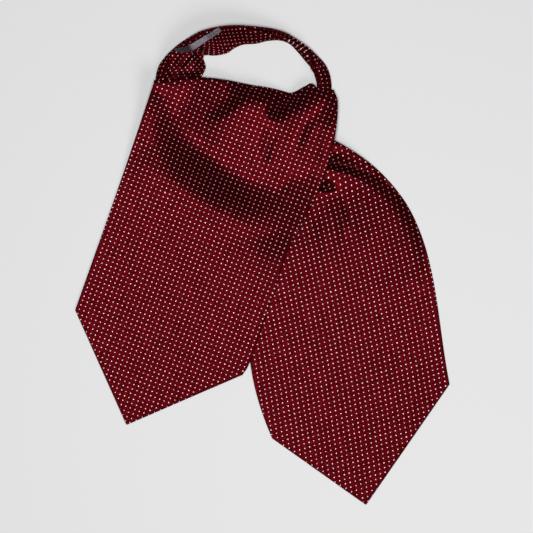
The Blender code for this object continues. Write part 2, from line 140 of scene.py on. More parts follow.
def along(points: np.ndarray, fractions: np.ndarray) -> np.ndarray:
    """Return places on the polyline through points, at fractions of its length."""
    points = np.asarray(points, float)
    steps = np.linalg.norm(np.diff(points, axis=0), axis=1)
    reached = np.concatenate(([0.0], np.cumsum(steps))) / steps.sum()
    return np.stack([np.interp(fractions, reached, axis) for axis in points.T], axis=-1)


def spline(rows: np.ndarray, places: np.ndarray, level: bool = False) -> np.ndarray:
    """Read a smooth curve through rows.

    The curve between two rows is the cubic that passes through both and takes its slopes from the
    rows before and after them.

    Args:
        rows: one row of values for each knot.
        places: where to read it, counted in rows.
        level: whether the curve runs level at its two ends.

    Returns:
        One row of values for each place.
    """
    before, after = 2 * rows[0] - rows[1], 2 * rows[-1] - rows[-2]
    if level:
        before, after = rows[1], rows[-2]
    padded = np.vstack((before, rows, after))
    index = np.clip(places.astype(int), 0, len(rows) - 2)
    t = (places - index)[:, None]
    a, b, c, d = (padded[index + k] for k in range(4))
    bend = 2 * a - 5 * b + 4 * c - d
    twist = 3 * b - a - 3 * c + d
    return 0.5 * (2 * b + (c - a) * t + bend * t**2 + twist * t**3)


def smooth_read(values: Sequence[float], place: np.ndarray) -> np.ndarray:
    """Return evenly spaced values read smoothly at places from 0 to 1, level at both ends."""
    values = np.asarray(values, float)
    if len(values) == 1:
        return np.full(place.shape, values[0])
    places = np.clip(place.ravel(), 0, 1) * (len(values) - 1)
    return spline(values[:, None], places, level=True)[:, 0].reshape(place.shape)


def smooth_through(points: Path, count: int) -> np.ndarray:
    """Return a smooth curve of count places through points, evenly spread by length."""
    points = np.asarray(points, float)
    spans, steps_each = len(points) - 1, 16
    places = np.linspace(0, spans, steps_each * spans + 1)
    return along(spline(points, places), np.linspace(0, 1, count))


def bezier(start: Sequence[float], first: Sequence[float], second: Sequence[float],
           end: Sequence[float], count: int) -> np.ndarray:
    """Return count places on the cubic curve from start to end with two handles."""
    t = np.linspace(0, 1, count)[:, None]
    corners = [np.asarray(corner, float) for corner in (start, first, second, end)]
    weights = ((1 - t) ** 3, 3 * (1 - t) ** 2 * t, 3 * (1 - t) * t**2, t**3)
    return sum(weight * corner for weight, corner in zip(weights, corners))


def patch(left: np.ndarray, right: np.ndarray, bottom: np.ndarray, top: np.ndarray) -> np.ndarray:
    """Span a grid between four edge curves.

    A place is the mean of the sides by q and of the ends by s, less the mean of the four corners.

    Args:
        left: places up the left edge, for s from 0 to 1.
        right: places up the right edge.
        bottom: places along the bottom edge, for q from 0 to 1.
        top: places along the top edge.

    Returns:
        Rows of places from bottom to top.
    """
    q = np.linspace(0, 1, len(bottom))[None, :, None]
    s = np.linspace(0, 1, len(left))[:, None, None]
    sides = (1 - q) * left[:, None] + q * right[:, None]
    ends = (1 - s) * bottom[None] + s * top[None]
    low = (1 - q) * bottom[0] + q * bottom[-1]
    high = (1 - q) * top[0] + q * top[-1]
    return sides + ends - (1 - s) * low - s * high


def pointed_end(left: Sequence[float], tip: Sequence[float], right: Sequence[float],
                columns: int) -> np.ndarray:
    """Return places along a blade's two straight edges, from its left shoulder by its tip."""
    half = columns // 2 + 1
    return np.vstack((np.linspace(left, tip, half), np.linspace(tip, right, half)[1:]))


def read_map(heights: np.ndarray, place: np.ndarray) -> np.ndarray:
    """Read a height map between its cells.

    Args:
        heights: rows of heights, a cell apart.
        place: column and row of each place wanted, counted in cells.

    Returns:
        The mean of the four heights round each place, weighted by how near they are.
    """
    place = np.clip(place, 0, np.array(heights.shape[::-1]) - 1.001)
    column, row = np.moveaxis(place.astype(int), -1, 0)
    right, up = np.moveaxis(place % 1, -1, 0)
    below = heights[row, column] * (1 - right) + heights[row, column + 1] * right
    above = heights[row + 1, column] * (1 - right) + heights[row + 1, column + 1] * right
    return below * (1 - up) + above * up


def distance_and_place(xy: np.ndarray, path: np.ndarray) -> tuple[np.ndarray, np.ndarray]:
    """Measure plan places against a polyline.

    Far from the polyline, the distance and the nearest point turn into means over its points,
    weighted by how near they are, so that no line shows where two stretches are equally near.

    Args:
        xy: plan places.
        path: the polyline's points.

    Returns:
        Each place's distance to the polyline, and how far along it the nearest point is, counted
        in points.
    """
    start, run = path[:-1], np.diff(path, axis=0)
    offset = xy[..., None, :] - start
    t = np.clip((offset * run).sum(-1) / (run * run).sum(-1), 0, 1)
    gaps = np.linalg.norm(offset - t[..., None] * run, axis=-1)
    nearest = gaps.argmin(-1)[..., None]
    gap = np.take_along_axis(gaps, nearest, -1)[..., 0]
    place = nearest[..., 0] + np.take_along_axis(t, nearest, -1)[..., 0]

    beyond = gaps - gap[..., None]
    weight = np.exp(-beyond / (BLEND_SHARE * gap + BLEND_LEAST)[..., None])
    weight /= weight.sum(-1, keepdims=True)
    far = ease((gap - BLEND_FROM) / BLEND_OVER)
    middle = (weight * (np.arange(len(run)) + t)).sum(-1)
    return gap + far * (weight * beyond).sum(-1), place + far * (middle - place)


def side_of(xy: np.ndarray, path: np.ndarray, place: np.ndarray) -> np.ndarray:
    """Return a number for each place, positive on the path's left and negative on its right."""
    index = np.clip(place.astype(int), 0, len(path) - 2)
    run = np.diff(path, axis=0)[index]
    offset = xy - path[index]
    return run[..., 0] * offset[..., 1] - run[..., 1] * offset[..., 0]


def relief(xy: np.ndarray, creases: Sequence[Crease]) -> np.ndarray:
    """Add up soft creases.

    Each one is height(place) * exp(-(distance / width)^power), with its height read along its path
    and its width by the side of the path.

    Args:
        xy: plan places.
        creases: the ridges and troughs.

    Returns:
        The height of all of them at each place.
    """
    total = np.zeros(xy.shape[:-1])
    steps = 32
    for crease in creases:
        path = smooth_through(crease.path, steps + 1)
        gap, place = distance_and_place(xy, path)
        height = crease.read(crease.height, place / steps)
        width = crease.read(crease.width, place / steps)
        power = crease.power
        if crease.left is not None:
            on_left = side_of(xy, path, place) > 0
            width, power = np.where(on_left, crease.left, width), np.where(on_left, 2.0, power)
        total += height * np.exp(-((gap / width) ** power))
    return total


def raise_to(xy: np.ndarray, heights: np.ndarray) -> np.ndarray:
    """Return plan places with heights added."""
    return np.concatenate((xy, heights[..., None]), axis=-1)


def grid_normals(grid: np.ndarray) -> np.ndarray:
    """Return unit normals of a grid, the cross product of its two directions."""
    return unit(np.cross(np.gradient(grid, axis=1), np.gradient(grid, axis=0)))


def slope_factor(surface: Callable[[np.ndarray], np.ndarray], xy: np.ndarray) -> np.ndarray:
    """Return a sloped sheet's vertical thickness for each unit of its real thickness."""
    step = 0.5
    dx = (surface(xy + (step, 0)) - surface(xy - (step, 0))) / (2 * step)
    dy = (surface(xy + (0, step)) - surface(xy - (0, step))) / (2 * step)
    return np.sqrt(1 + dx**2 + dy**2)


def make_mesh(name: str, vertices: np.ndarray, quads: np.ndarray, uv: np.ndarray) -> bpy.types.Object:
    """Make a smooth mesh object.

    Args:
        name: the piece's name.
        vertices: places in millimetres.
        quads: four vertex numbers for each face.
        uv: one cut place for each vertex, counted in pin dots.

    Returns:
        The object, linked to the scene.
    """
    mesh = bpy.data.meshes.new(name)
    mesh.vertices.add(len(vertices))
    mesh.vertices.foreach_set("co", (np.asarray(vertices) * MM).astype(np.float32).ravel())
    mesh.loops.add(quads.size)
    mesh.loops.foreach_set("vertex_index", quads.astype(np.int32).ravel())
    mesh.polygons.add(len(quads))
    mesh.polygons.foreach_set("loop_start", np.arange(0, quads.size, 4, dtype=np.int32))
    mesh.polygons.foreach_set("loop_total", np.full(len(quads), 4, np.int32))
    mesh.update(calc_edges=True)
    layer = mesh.uv_layers.new(name="cut")
    layer.data.foreach_set("uv", uv[quads.ravel()].astype(np.float32).ravel())
    mesh.validate()
    mesh.polygons.foreach_set("use_smooth", np.ones(len(mesh.polygons), bool))
    piece = bpy.data.objects.new(name, mesh)
    bpy.context.scene.collection.objects.link(piece)
    return piece


def enclosed_volume(piece: bpy.types.Object) -> float:
    """Return a closed mesh's volume, which is negative where its faces look inwards."""
    mesh = piece.data
    mesh.calc_loop_triangles()
    places = np.empty(len(mesh.vertices) * 3, np.float32)
    corners = np.empty(len(mesh.loop_triangles) * 3, np.int32)
    mesh.vertices.foreach_get("co", places)
    mesh.loop_triangles.foreach_get("vertices", corners)
    a, b, c = places.reshape(-1, 3)[corners.reshape(-1, 3)].astype(float).transpose(1, 0, 2)
    return float(np.einsum("ij,ij->", a, np.cross(b, c)) / 6)


def flat_area(cut: np.ndarray) -> float:
    """Return the area of a grid of flat places, added up over its four-sided cells."""
    corners = [cut[:-1, :-1], cut[:-1, 1:], cut[1:, 1:], cut[1:, :-1]]
    return float(abs(sum(
        (p[..., 0] * r[..., 1] - r[..., 0] * p[..., 1]).sum()
        for p, r in zip(corners, corners[1:] + corners[:1])
    )) / 2)


def cloth_shell(name: str, under: np.ndarray, thickness: float | np.ndarray, uv: np.ndarray,
                turn: float = 0.45, straight_cut: np.ndarray | None = None) -> Sheet:
    """Make a closed shell of cloth with a rounded edge.

    Its upper side is the under side moved out along its normals. Its edge is half an ellipse, as
    deep as the cloth is thick and reaching out by turn times the thickness.

    Args:
        name: the piece's name.
        under: the under side, as rows of places in millimetres.
        thickness: the cloth's thickness in millimetres, the same all over or one for each place.
        uv: cut places for the grid, counted in pin dots.
        turn: how far the edge stands out, as a share of the thickness.
        straight_cut: the cut places to measure where uv leans with gathered dots.

    Returns:
        The sheet with the flat size of its cut.
    """
    rows, columns = under.shape[:2]
    normals = grid_normals(under)
    number = np.arange(rows * columns).reshape(rows, columns)
    rim = np.concatenate((number[0, :-1], number[:-1, -1], number[-1, :0:-1], number[:0:-1, 0]))
    inner = np.concatenate((number[1, :-1], number[:-1, -2], number[-2, :0:-1], number[:0:-1, 1]))
    flat_under, flat_normals = under.reshape(-1, 3), normals.reshape(-1, 3)
    thickness = np.broadcast_to(thickness, under.shape[:2]).reshape(-1, 1)
    edge, edge_normals = flat_under[rim], flat_normals[rim]
    run = unit(np.roll(edge, -1, axis=0) - np.roll(edge, 1, axis=0))
    outward = unit(np.cross(run, edge_normals))
    sign = np.sign(np.einsum("ij,ij->i", outward, edge - flat_under[inner]).mean()) or 1.0
    layers = [flat_under, flat_under + thickness * flat_normals]
    layers_uv = [uv.reshape(-1, 2)] * 2
    rings = [rim + rows * columns]
    for angle in np.radians(EDGE_ANGLES):
        middle = 0.5 * thickness[rim] * (1 + math.cos(angle))
        reach = sign * turn * thickness[rim] * math.sin(angle)
        rings.append(np.arange(len(rim)) + sum(len(layer) for layer in layers))
        layers.append(edge + middle * edge_normals + reach * outward)
        layers_uv.append(uv.reshape(-1, 2)[rim])
    rings.append(rim)
    a, b = number[:-1, :-1].ravel(), number[:-1, 1:].ravel()
    c, d = number[1:, 1:].ravel(), number[1:, :-1].ravel()
    quads = [np.stack((d, c, b, a), -1), np.stack((a, b, c, d), -1) + rows * columns]
    for upper, lower in zip(rings, rings[1:]):
        quads.append(np.stack((np.roll(upper, -1), upper, lower, np.roll(lower, -1)), -1))
    piece = make_mesh(name, np.concatenate(layers), np.concatenate(quads), np.concatenate(layers_uv))

    cut = (uv if straight_cut is None else straight_cut) * (DOT_ACROSS, DOT_ALONG) * MM
    size = np.ptp(cut.reshape(-1, 2), axis=0)
    return Sheet(piece, (float(size[0]), float(size[1])), flat_area(cut))


@dataclass
class RearBlade:
    """The lower blade: a pointed panel whose pleats open out from the knot.

    Its rows run from the right-angled point to the neck, and its columns from the hidden inner
    edge to the outer edge. Its height is the sum of its pleats, held at or above the table.

    Attributes:
        gather: how much closer the rows lie towards the neck on the inner edge, as a power.
        full_length: how far up from the tip the dots' lean goes on growing.
        row_tilt: lean of the dots' rows in degrees, at the tip and at full_length.
        column_tilt: the same for the dots' columns.
        lean: how far the main pleat leans outwards over its trough, and its half-width there.
        lean_from: where on the pleat's path the lean sets in, of lean_steps.
        lean_over: the steps over which it sets in.
        skirt: how much of the pleats' thin skirts is pressed into the table.
        skirt_ease: the height below which the cloth settles onto the table.
    """

    tip: tuple[float, float] = (92.0, -212.7)
    shoulders: tuple = ((9.3, -154.0), (165.8, -106.1))
    outer_handles: tuple = ((148.8, -21.4), (159.6, 62.1))
    outer_end: tuple[float, float] = (62.8, 110.0)
    inner_handles: tuple = ((-49.0, -19.0), (34.0, 20.0))
    neck: tuple = ((44.0, 62.0), (57.4, 107.6))
    gather: float = 1.7
    cloth: float = 1.5
    columns: int = 151
    rows: int = 240
    row_tilt: tuple[float, float] = (16.0, 20.0)
    column_tilt: tuple[float, float] = (6.5, 10.2)
    dot_pitch: tuple[float, float] = (4.56, 4.06)
    pleats: tuple = (
        Crease(((137.5, -31.4), (132.2, -11.8), (126.8, 6), (120.6, 23.7), (113.5, 42), (102.8, 56.5),
                (88.6, 67.5), (76.2, 73.5), (64.6, 77), (44, 80), (26, 82), (8, 84)),
               (0.0, 0.6, 2.0, 3.6, 5.6, 7.8, 10.0, 11.8, 12.8, 13.0, 13.0, 13.0),
               (18.0, 18.0, 17.0, 16.0, 15.0, 13.5, 12.0, 10.5, 9.6, 9.2, 9.2, 9.2), 58.0, 3.6),
        Crease(((110, 70), (97, 84.5), (81, 95.5), (66, 101), (50, 104), (32, 105), (14, 106)),
               (0.0, 2.6, 6.2, 8.4, 8.6, 8.6, 8.6), 12.0, 9.6, 3.4),
    )
    troughs: tuple = (
        Crease(((38, 70), (50, 69.4), (59, 68.2), (69, 66.4)), (-6.4, -6.4, -3.4, 0.0), 3.6),
        Crease(((66, 62), (69, 51), (72, 38), (76, 22)), (0.0, -2.2, -1.9, 0.0), 4.4),
        Crease(((48, 46), (54, 29), (58.4, 8)), (0.0, -0.6, 0.0), 6.5),
    )
    lean: tuple[float, float] = (3.6, 6.0)
    lean_steps: int = 40
    lean_from: float = 14.0
    lean_over: float = 18.0
    skirt: float = 0.35
    skirt_ease: float = 1.2
    edge_count: int = 60
    full_length: float = 320.0

    def laid(self, total: np.ndarray) -> np.ndarray:
        """Return heights whose thin skirts are pressed onto the table."""
        return np.maximum(total - self.skirt, 0.0) * ease(total / self.skirt_ease)

    def form(self, xy: np.ndarray) -> np.ndarray:
        """Return the height of its pleats without their fine troughs."""
        return self.laid(relief(xy, self.pleats))

    def height(self, xy: np.ndarray) -> np.ndarray:
        """Return the height of its under side, with the troughs between its pleats."""
        return self.laid(relief(xy, self.pleats) + relief(xy, self.troughs))

    def edges(self, count: int) -> tuple[np.ndarray, np.ndarray]:
        """Return its inner and outer edges, from shoulder to neck."""
        inner = bezier(self.shoulders[0], *self.inner_handles, self.neck[0], self.edge_count)
        outer = bezier(self.shoulders[1], *self.outer_handles, self.outer_end, self.edge_count)
        outer = np.vstack((outer, self.neck[1]))
        fractions = np.linspace(0, 1, count)
        return along(inner, 1 - (1 - fractions) ** self.gather), along(outer, fractions)

    def cut(self, xy: np.ndarray) -> np.ndarray:
        """Place the blade on its cut.

        The dots' rows and columns lean by angles of their own, which grow evenly up the blade,
        because the cloth is drawn towards its pleats.

        Args:
            xy: plan places.

        Returns:
            One cut place for each plan place, counted in pin dots.
        """
        x, y = xy[..., 0] - self.tip[0], xy[..., 1] - self.tip[1]
        up = np.clip(y / self.full_length, 0, 1)
        row = np.radians(np.interp(up, (0, 1), self.row_tilt))
        column = np.radians(np.interp(up, (0, 1), self.column_tilt))
        across = (x * np.cos(column) + y * np.sin(column)) / self.dot_pitch[0]
        upward = (y * np.cos(row) - x * np.sin(row)) / self.dot_pitch[1]
        return np.stack((across, upward), -1)

    def build(self) -> Sheet:
        """Make the blade's shell."""
        bottom = pointed_end(self.shoulders[0], self.tip, self.shoulders[1], self.columns)
        inner, outer = self.edges(self.rows)
        xy = patch(inner, outer, bottom, np.linspace(*self.neck, self.columns))
        grid = raise_to(xy + self.leaned(xy), self.height(xy))
        return cloth_shell("rear_blade_cloth", grid, self.cloth, self.cut(xy))

    def leaned(self, xy: np.ndarray) -> np.ndarray:
        """Return how far the main pleat leans outwards over its trough at each place."""
        most, width = self.lean
        path = smooth_through(self.pleats[0].path, self.lean_steps + 1)
        gap, place = distance_and_place(xy, path)
        run = unit(np.gradient(path, axis=0))
        outward = np.stack((run[:, 1], -run[:, 0]), axis=-1)
        setting_in = ease((place - self.lean_from) / self.lean_over)
        amount = most * setting_in * np.exp(-((gap / width) ** 2))
        index = np.clip(np.rint(place).astype(int), 0, len(path) - 1)
        return amount[..., None] * outward[index]


@dataclass
class FrontBlade:
    """The upper blade: a pointed panel that hangs from the fold over the crossing.

    Its columns run from the point's two straight edges up to the fold. From there each column
    rolls round the fold's radius and runs on as the cloth turned under.

    Attributes:
        rear: the blade that it lies on.
        lean: degrees that its cut is turned by against the table.
        turn_at: places from left to right for turn and turned_length.
        turn: degrees that the fold rolls round there.
        turned_length: how far the cloth runs on under the fold there.
        edge_at: places between which the fold's edge thins to edge_thickness.
        edge_depth: how far down from the fold it is thinned.
        foot: lowest height of the cloth turned under.
        rest_gap: how far it clears the rear blade.
        rest_reach: how far past the rear blade's inner edge it stays level.
        step_width: the distance over which it then steps down to the table.
        beyond_neck: where the line of that inner edge goes on above the rear blade.
        cover_slope: the steepest fall of the cloth spanned over the pleats, along and across.
        cover_span: the farthest that a pleat lifts the spanned cloth.
        brow: the line on the crossing at which the cloth starts to fall.
        fall_width: how far out from the brow its foot lies, at even steps along it.
        fall_foot: height of that foot.
        foot_reach: the distance over which the foot then fades away.
        crown: height on the crossing, its fall for each millimetre towards the fold, and the
            place up the table at which that fall starts.
        crown_ease: how softly that fall starts.
        entry_step: the stretch below the fold whose slope the roll carries on.
    """

    rear: RearBlade
    tip: tuple[float, float] = (-120.4, -141.6)
    left_edge: Path = ((-165.6, -40.3), (-132.0, 54.9), (-98.9, 150.6), (-95.4, 163.8))
    right_edge: Path = (
        (-18.0, -97.2), (-11.0, -84.5), (6.0, -35.5), (24.4, 17.5), (51.5, 71.0), (63.5, 113.0),
        (66.0, 142.0), (63.3, 157.5),
    )
    fold: Path = (
        (-95.4, 163.8), (-86.0, 164.0), (-72.0, 166.0), (-55.5, 166.6), (-33.0, 164.2),
        (-11.0, 160.0), (7.0, 157.0), (18.0, 154.3), (24.4, 152.8), (31.0, 154.6), (37.5, 158.2),
        (43.5, 160.4), (49.5, 159.0), (56.0, 158.6), (63.3, 157.5),
    )
    cloth: float = 1.6
    fold_radius: float = 1.6
    lean: float = -20.7
    columns: int = 161
    rows: int = 230
    roll_rows: int = 12
    return_rows: int = 12
    turn_at: tuple = (-100.0, -53.5, -43.5, 34.0, 43.0, 48.0, 70.0)
    turn: tuple = (180.0, 180.0, 112.0, 112.0, 70.0, 14.0, 14.0)
    turned_length: tuple = (7.0, 7.0, 40.0, 40.0, 4.0, 0.3, 0.3)
    edge_at: tuple = (38.0, 50.0)
    edge_thickness: tuple = (1.6, 0.5)
    edge_depth: float = 9.0
    foot: float = 1.5
    rest_gap: float = 0.6
    rest_reach: float = 4.5
    cover_box: tuple = ((-40.0, -130.0), (120.0, 190.0))
    cover_slope: tuple[float, float] = (0.35, 0.17)
    cover_span: int = 26
    cover_smoothing: int = 6
    step_width: float = 58.0
    beyond_neck: tuple[float, float] = (70.0, 150.0)
    brow: Path = (
        (-97.5, 163.5), (-86.2, 156.4), (-77.3, 148.3), (-70.2, 137.6), (-62.5, 123.0),
        (-52.0, 109.5), (-39.5, 97.0), (-25.2, 85.5), (-9.5, 77.0), (5.8, 73.5), (18.2, 76.0),
        (26.0, 86.4), (30.5, 103.0), (34.5, 119.7), (43.3, 133.0), (53.0, 146.4), (57.0, 160.0),
    )
    fall_width: tuple = (
        26.0, 30.0, 34.0, 40.0, 45.0, 43.0, 40.0, 38.5, 37.0, 36.0, 34.0, 25.0, 18.0, 14.0, 13.0, 13.0,
        13.0,
    )
    fall_foot: tuple = (
        6.0, 6.0, 5.5, 4.0, 1.0, 0.0, 0.0, 1.0, 4.5, 8.5, 11.0, 12.5, 13.0, 13.0, 11.0, 7.0, 4.5,
    )
    foot_reach: float = 60.0
    foot_press: float = 0.25
    fall_power: float = 1.5
    brow_steps: int = 120
    brow_radius: float = 10.0
    crown: tuple[float, float, float] = (20.2, 0.155, 108.0)
    crown_ease: float = 12.0
    lift_power: int = 4
    entry_step: float = 1.5
    entry_limit: float = 0.9
    left_count: int = 200
    right_count: int = 300
    inner_count: int = 120
    creases: tuple = (
        Crease(((-98, 168), (-80, 158), (-60, 150)), (3.9, 3.2, 0.0), 15.0),
        Crease(((52, 166), (42, 166), (34, 161), (24.4, 158), (10, 161), (-10, 165), (-34, 170)),
               (0.0, -5.0, -10.5, -11.5, -10.5, -7.0, 0.0), 12.0),
        Crease(((27, 148), (20, 144), (13, 137), (8, 128)), (-4.0, -6.0, -5.0, 0.0), 6.5),
        Crease(((-10.7, 150), (-20.5, 138.7), (-36.5, 128), (-54, 123)),
               (4.4, 4.2, 2.4, 0.0), 7.0, 26.0),
        Crease(((4, 122), (4.5, 110), (3, 96), (2, 88)), (0.0, -1.5, -1.5, 0.0), 5.0),
        Crease(((45, 162), (52, 163), (58, 162), (66, 159)), (-1.5, -3.6, -3.6, -2.6), 11.0),
        Crease(((53, 139), (46, 124.2), (39.7, 110.8), (31.7, 88.6), (24.6, 72)),
               (0.0, -1.9, -2.2, -1.3, 0.0), 7.5),
        Crease(((40.6, 37.9), (31.7, 33.5), (22, 30.8)), (-2.6, -2.6, 0.0), 3.8),
    )

    def height(self, xy: np.ndarray) -> np.ndarray:
        """Find the height of its under side.

        Inside the brow the cloth lies on the crossing of the band's ends, and its height falls
        evenly towards the fold. Outside it falls to its foot along
        1 - (1 - distance / width)^fall_power, which is steep at the brow and soft at the foot, and
        the foot itself fades away from the brow. Where the rear blade lies below, the cloth is
        lifted smoothly over it: its height is a root of the sum of both heights' powers.

        Args:
            xy: plan places.

        Returns:
            Heights above the table in millimetres.
        """
        brow = smooth_through(self.brow, self.brow_steps + 1)
        gap, place = distance_and_place(xy, brow)
        inside = side_of(xy, brow, place) > 0
        width = smooth_read(self.fall_width, place / self.brow_steps)
        rounded = np.hypot(gap, self.brow_radius) - self.brow_radius
        left_to_fall = 1 - np.clip(np.where(inside, 0.0, rounded) / width, 0, 1)
        fall = 1 - left_to_fall**self.fall_power
        foot = smooth_read(self.fall_foot, place / self.brow_steps)
        foot = foot * (1 - ease((gap - width) / self.foot_reach))
        level, decline, start = self.crown
        beyond = xy[..., 1] - start
        crown = level - decline * 0.5 * (beyond + np.hypot(beyond, self.crown_ease))
        raised = crown + (foot - crown) * fall + relief(xy, self.creases)
        raised = np.maximum(raised - self.foot_press, 0.0)
        power = self.lift_power
        return (raised**power + self.over_rear(xy) ** power) ** (1 / power)

    def over_rear(self, xy: np.ndarray) -> np.ndarray:
        """Return the height that clears the rear blade and steps down beside it."""
        inner, _ = self.rear.edges(self.inner_count)
        inner = np.vstack((inner, self.rear.neck[1], self.beyond_neck))
        gap, place = distance_and_place(xy, inner)
        outside = np.where(side_of(xy, inner, place) > 0, gap, 0.0)
        top = read_map(self.cover, xy - self.cover_box[0])
        return (top + self.rest_gap) * (1 - ease((outside - self.rest_reach) / self.step_width))

    @cached_property
    def cover(self) -> np.ndarray:
        """Map the height of a cloth that is spanned over the rear blade's pleats.

        From each place the cloth falls no more steeply than cover_slope, along and across the
        table. The map is then smoothed.

        Returns:
            Heights for each whole millimetre of cover_box, as rows up the table.
        """
        low, high = self.cover_box
        xy = np.stack(np.meshgrid(np.arange(low[0], high[0]), np.arange(low[1], high[1])), -1)
        top = self.rear.form(xy) + self.rear.cloth * slope_factor(self.rear.form, xy)
        for axis, slope in zip((1, 0), self.cover_slope):
            top = np.maximum.reduce([
                np.roll(top, shift, axis) - slope * abs(shift)
                for shift in range(-self.cover_span, self.cover_span + 1)
            ])
        for axis in (0, 1) * self.cover_smoothing:
            top = (np.roll(top, 1, axis) + 2 * top + np.roll(top, -1, axis)) / 4
        return top

    def grid(self) -> np.ndarray:
        """Return its under side: the panel, the roll and the cloth turned under."""
        fold = smooth_through(self.fold, self.columns)
        turn = np.radians(np.interp(fold[:, 0], self.turn_at, self.turn))
        length = np.interp(fold[:, 0], self.turn_at, self.turned_length)
        crest = fold - (0, self.fold_radius + self.cloth)
        rise = self.height(crest) - self.height(crest - (0, self.entry_step))
        entry = np.clip(np.arctan2(rise, self.entry_step), -self.entry_limit, self.entry_limit)
        top = crest - np.stack((np.zeros(self.columns), self.fold_radius * np.sin(entry)), axis=-1)
        bottom = pointed_end(self.left_edge[0], self.tip, self.right_edge[0], self.columns)
        fractions = np.linspace(0, 1, self.rows)
        left = smooth_through((*self.left_edge[:-1], top[0]), self.left_count)
        right = smooth_through((*self.right_edge[:-1], top[-1]), self.right_count)
        xy = patch(along(left, fractions), along(right, fractions), bottom, top)
        panel = raise_to(xy, self.height(xy))

        start = panel[-1]
        centre_y = start[:, 1] + self.fold_radius * np.sin(entry)
        centre_z = start[:, 2] - self.fold_radius * np.cos(entry)
        angle = -entry + (turn + entry) * np.linspace(0, 1, self.roll_rows + 1)[1:, None]
        roll = np.stack((
            np.broadcast_to(start[:, 0], angle.shape),
            centre_y + self.fold_radius * np.sin(angle),
            centre_z + self.fold_radius * np.cos(angle),
        ), axis=-1)
        length = np.minimum(length, (roll[-1, :, 2] - self.foot) / np.maximum(np.sin(turn), 1e-6))
        reach = length * np.linspace(0, 1, self.return_rows + 1)[1:, None]
        down = roll[-1] + np.stack((0 * reach, np.cos(turn) * reach, -np.sin(turn) * reach), axis=-1)
        return np.concatenate((panel, roll, down))

    def cut(self, grid: np.ndarray) -> np.ndarray:
        """Place the blade on its cut.

        Each column starts from its place at the point, turned by the blade's lean. It then
        gains its real length at every step, in the direction that it takes in plan. Past the
        fold it goes on in its last direction.

        Args:
            grid: the blade's under side.

        Returns:
            One cut place for each place of the grid, counted in pin dots.
        """
        angle = math.radians(self.lean)
        turned = np.array(((math.cos(angle), -math.sin(angle)), (math.sin(angle), math.cos(angle))))
        start = (grid[0, :, :2] - self.tip) @ turned
        step = np.diff(grid, axis=0)
        real = np.linalg.norm(step, axis=-1, keepdims=True)
        heading = unit(step[..., :2] @ turned)
        heading[self.rows - 1:] = heading[self.rows - 2]
        places = np.concatenate((start[None], start + np.cumsum(heading * real, axis=0)))
        return places / (DOT_ACROSS, DOT_ALONG)

    def build(self) -> Sheet:
        """Make the blade's shell."""
        grid = self.grid()
        edge = np.interp(grid[..., 0], self.edge_at, self.edge_thickness)
        near = ease(1 - (grid[self.rows - 1, :, 1] - grid[..., 1]) / self.edge_depth)
        thickness = self.cloth + (edge - self.cloth) * near
        return cloth_shell("front_blade_cloth", grid, thickness, self.cut(grid))


class BandSection(NamedTuple):
    """One section across the neckband, in millimetres."""

    outer: tuple[float, float]  # its outer edge seen from above
    inner: tuple[float, float]  # its inner edge seen from above
    seam: float  # how far across from the inner edge the facing reaches, as a share
    facing: tuple[float, ...]  # heights of the facing, at the places in FACING_AT
    rim: float  # height at which the pleated outside is widest


FACING_AT = (0.0, 0.3, 0.6, 0.85, 1.0)

# From the band's left end round to its right
BAND_SECTIONS = (
    BandSection((-92.5, 150.0), (-59.5, 150.0), 0.84, (3.6, 6.0, 5.6, 6.8, 6.2), 3.2),
    BandSection((-95.6, 163.0), (-55.6, 164.6), 0.82, (3.6, 6.6, 5.8, 7.2, 7.2), 3.0),
    BandSection((-93.8, 174.6), (-50.6, 174.8), 0.80, (3.6, 7.4, 6.2, 8.0, 8.6), 3.0),
    BandSection((-87.6, 184.4), (-52.6, 183.4), 0.80, (3.6, 6.8, 6.0, 8.6, 10.2), 3.2),
    BandSection((-80.2, 191.8), (-50.4, 186.4), 0.82, (3.6, 5.2, 6.4, 9.8, 12.4), 4.0),
    BandSection((-69.4, 199.8), (-41.3, 186.1), 0.84, (3.6, 4.8, 7.4, 11.8, 14.8), 6.0),
    BandSection((-55.2, 207.2), (-31.6, 188.2), 0.90, (3.6, 5.2, 8.8, 13.6, 16.8), 10.6),
    BandSection((-39.6, 211.2), (-25.0, 192.4), 1.00, (3.6, 6.2, 10.6, 15.2, 18.0), 12.0),
    BandSection((-23.6, 212.6), (-17.0, 195.6), 1.00, (3.6, 7.2, 12.0, 16.0, 18.2), 12.4),
    BandSection((-7.6, 211.6), (-5.8, 196.4), 1.00, (3.6, 7.4, 11.8, 15.2, 17.0), 12.0),
    BandSection((6.9, 210.0), (4.9, 198.8), 0.80, (3.6, 6.8, 10.2, 12.8, 14.2), 9.4),
    BandSection((20.2, 206.6), (15.4, 199.2), 0.73, (3.6, 6.2, 8.8, 10.8, 12.0), 6.8),
    BandSection((31.8, 200.0), (24.2, 196.0), 0.70, (3.6, 5.6, 7.8, 9.6, 10.8), 4.6),
    BandSection((41.6, 193.2), (32.2, 188.2), 0.58, (3.6, 5.2, 7.2, 9.0, 10.4), 3.6),
    BandSection((50.4, 185.3), (38.2, 180.8), 0.32, (3.6, 5.2, 7.2, 8.8, 10.4), 3.2),
    BandSection((57.2, 177.6), (43.8, 174.0), 0.10, (3.6, 5.2, 7.0, 8.6, 10.0), 3.0),
    BandSection((61.0, 169.0), (46.6, 167.2), 0.08, (3.6, 4.6, 6.0, 7.4, 8.5), 3.0),
    BandSection((62.4, 160.0), (48.4, 159.4), 0.08, (3.6, 4.6, 6.0, 7.4, 8.5), 3.0),
    BandSection((62.0, 150.0), (48.6, 150.0), 0.08, (3.6, 4.6, 6.0, 7.4, 8.5), 3.0),
)


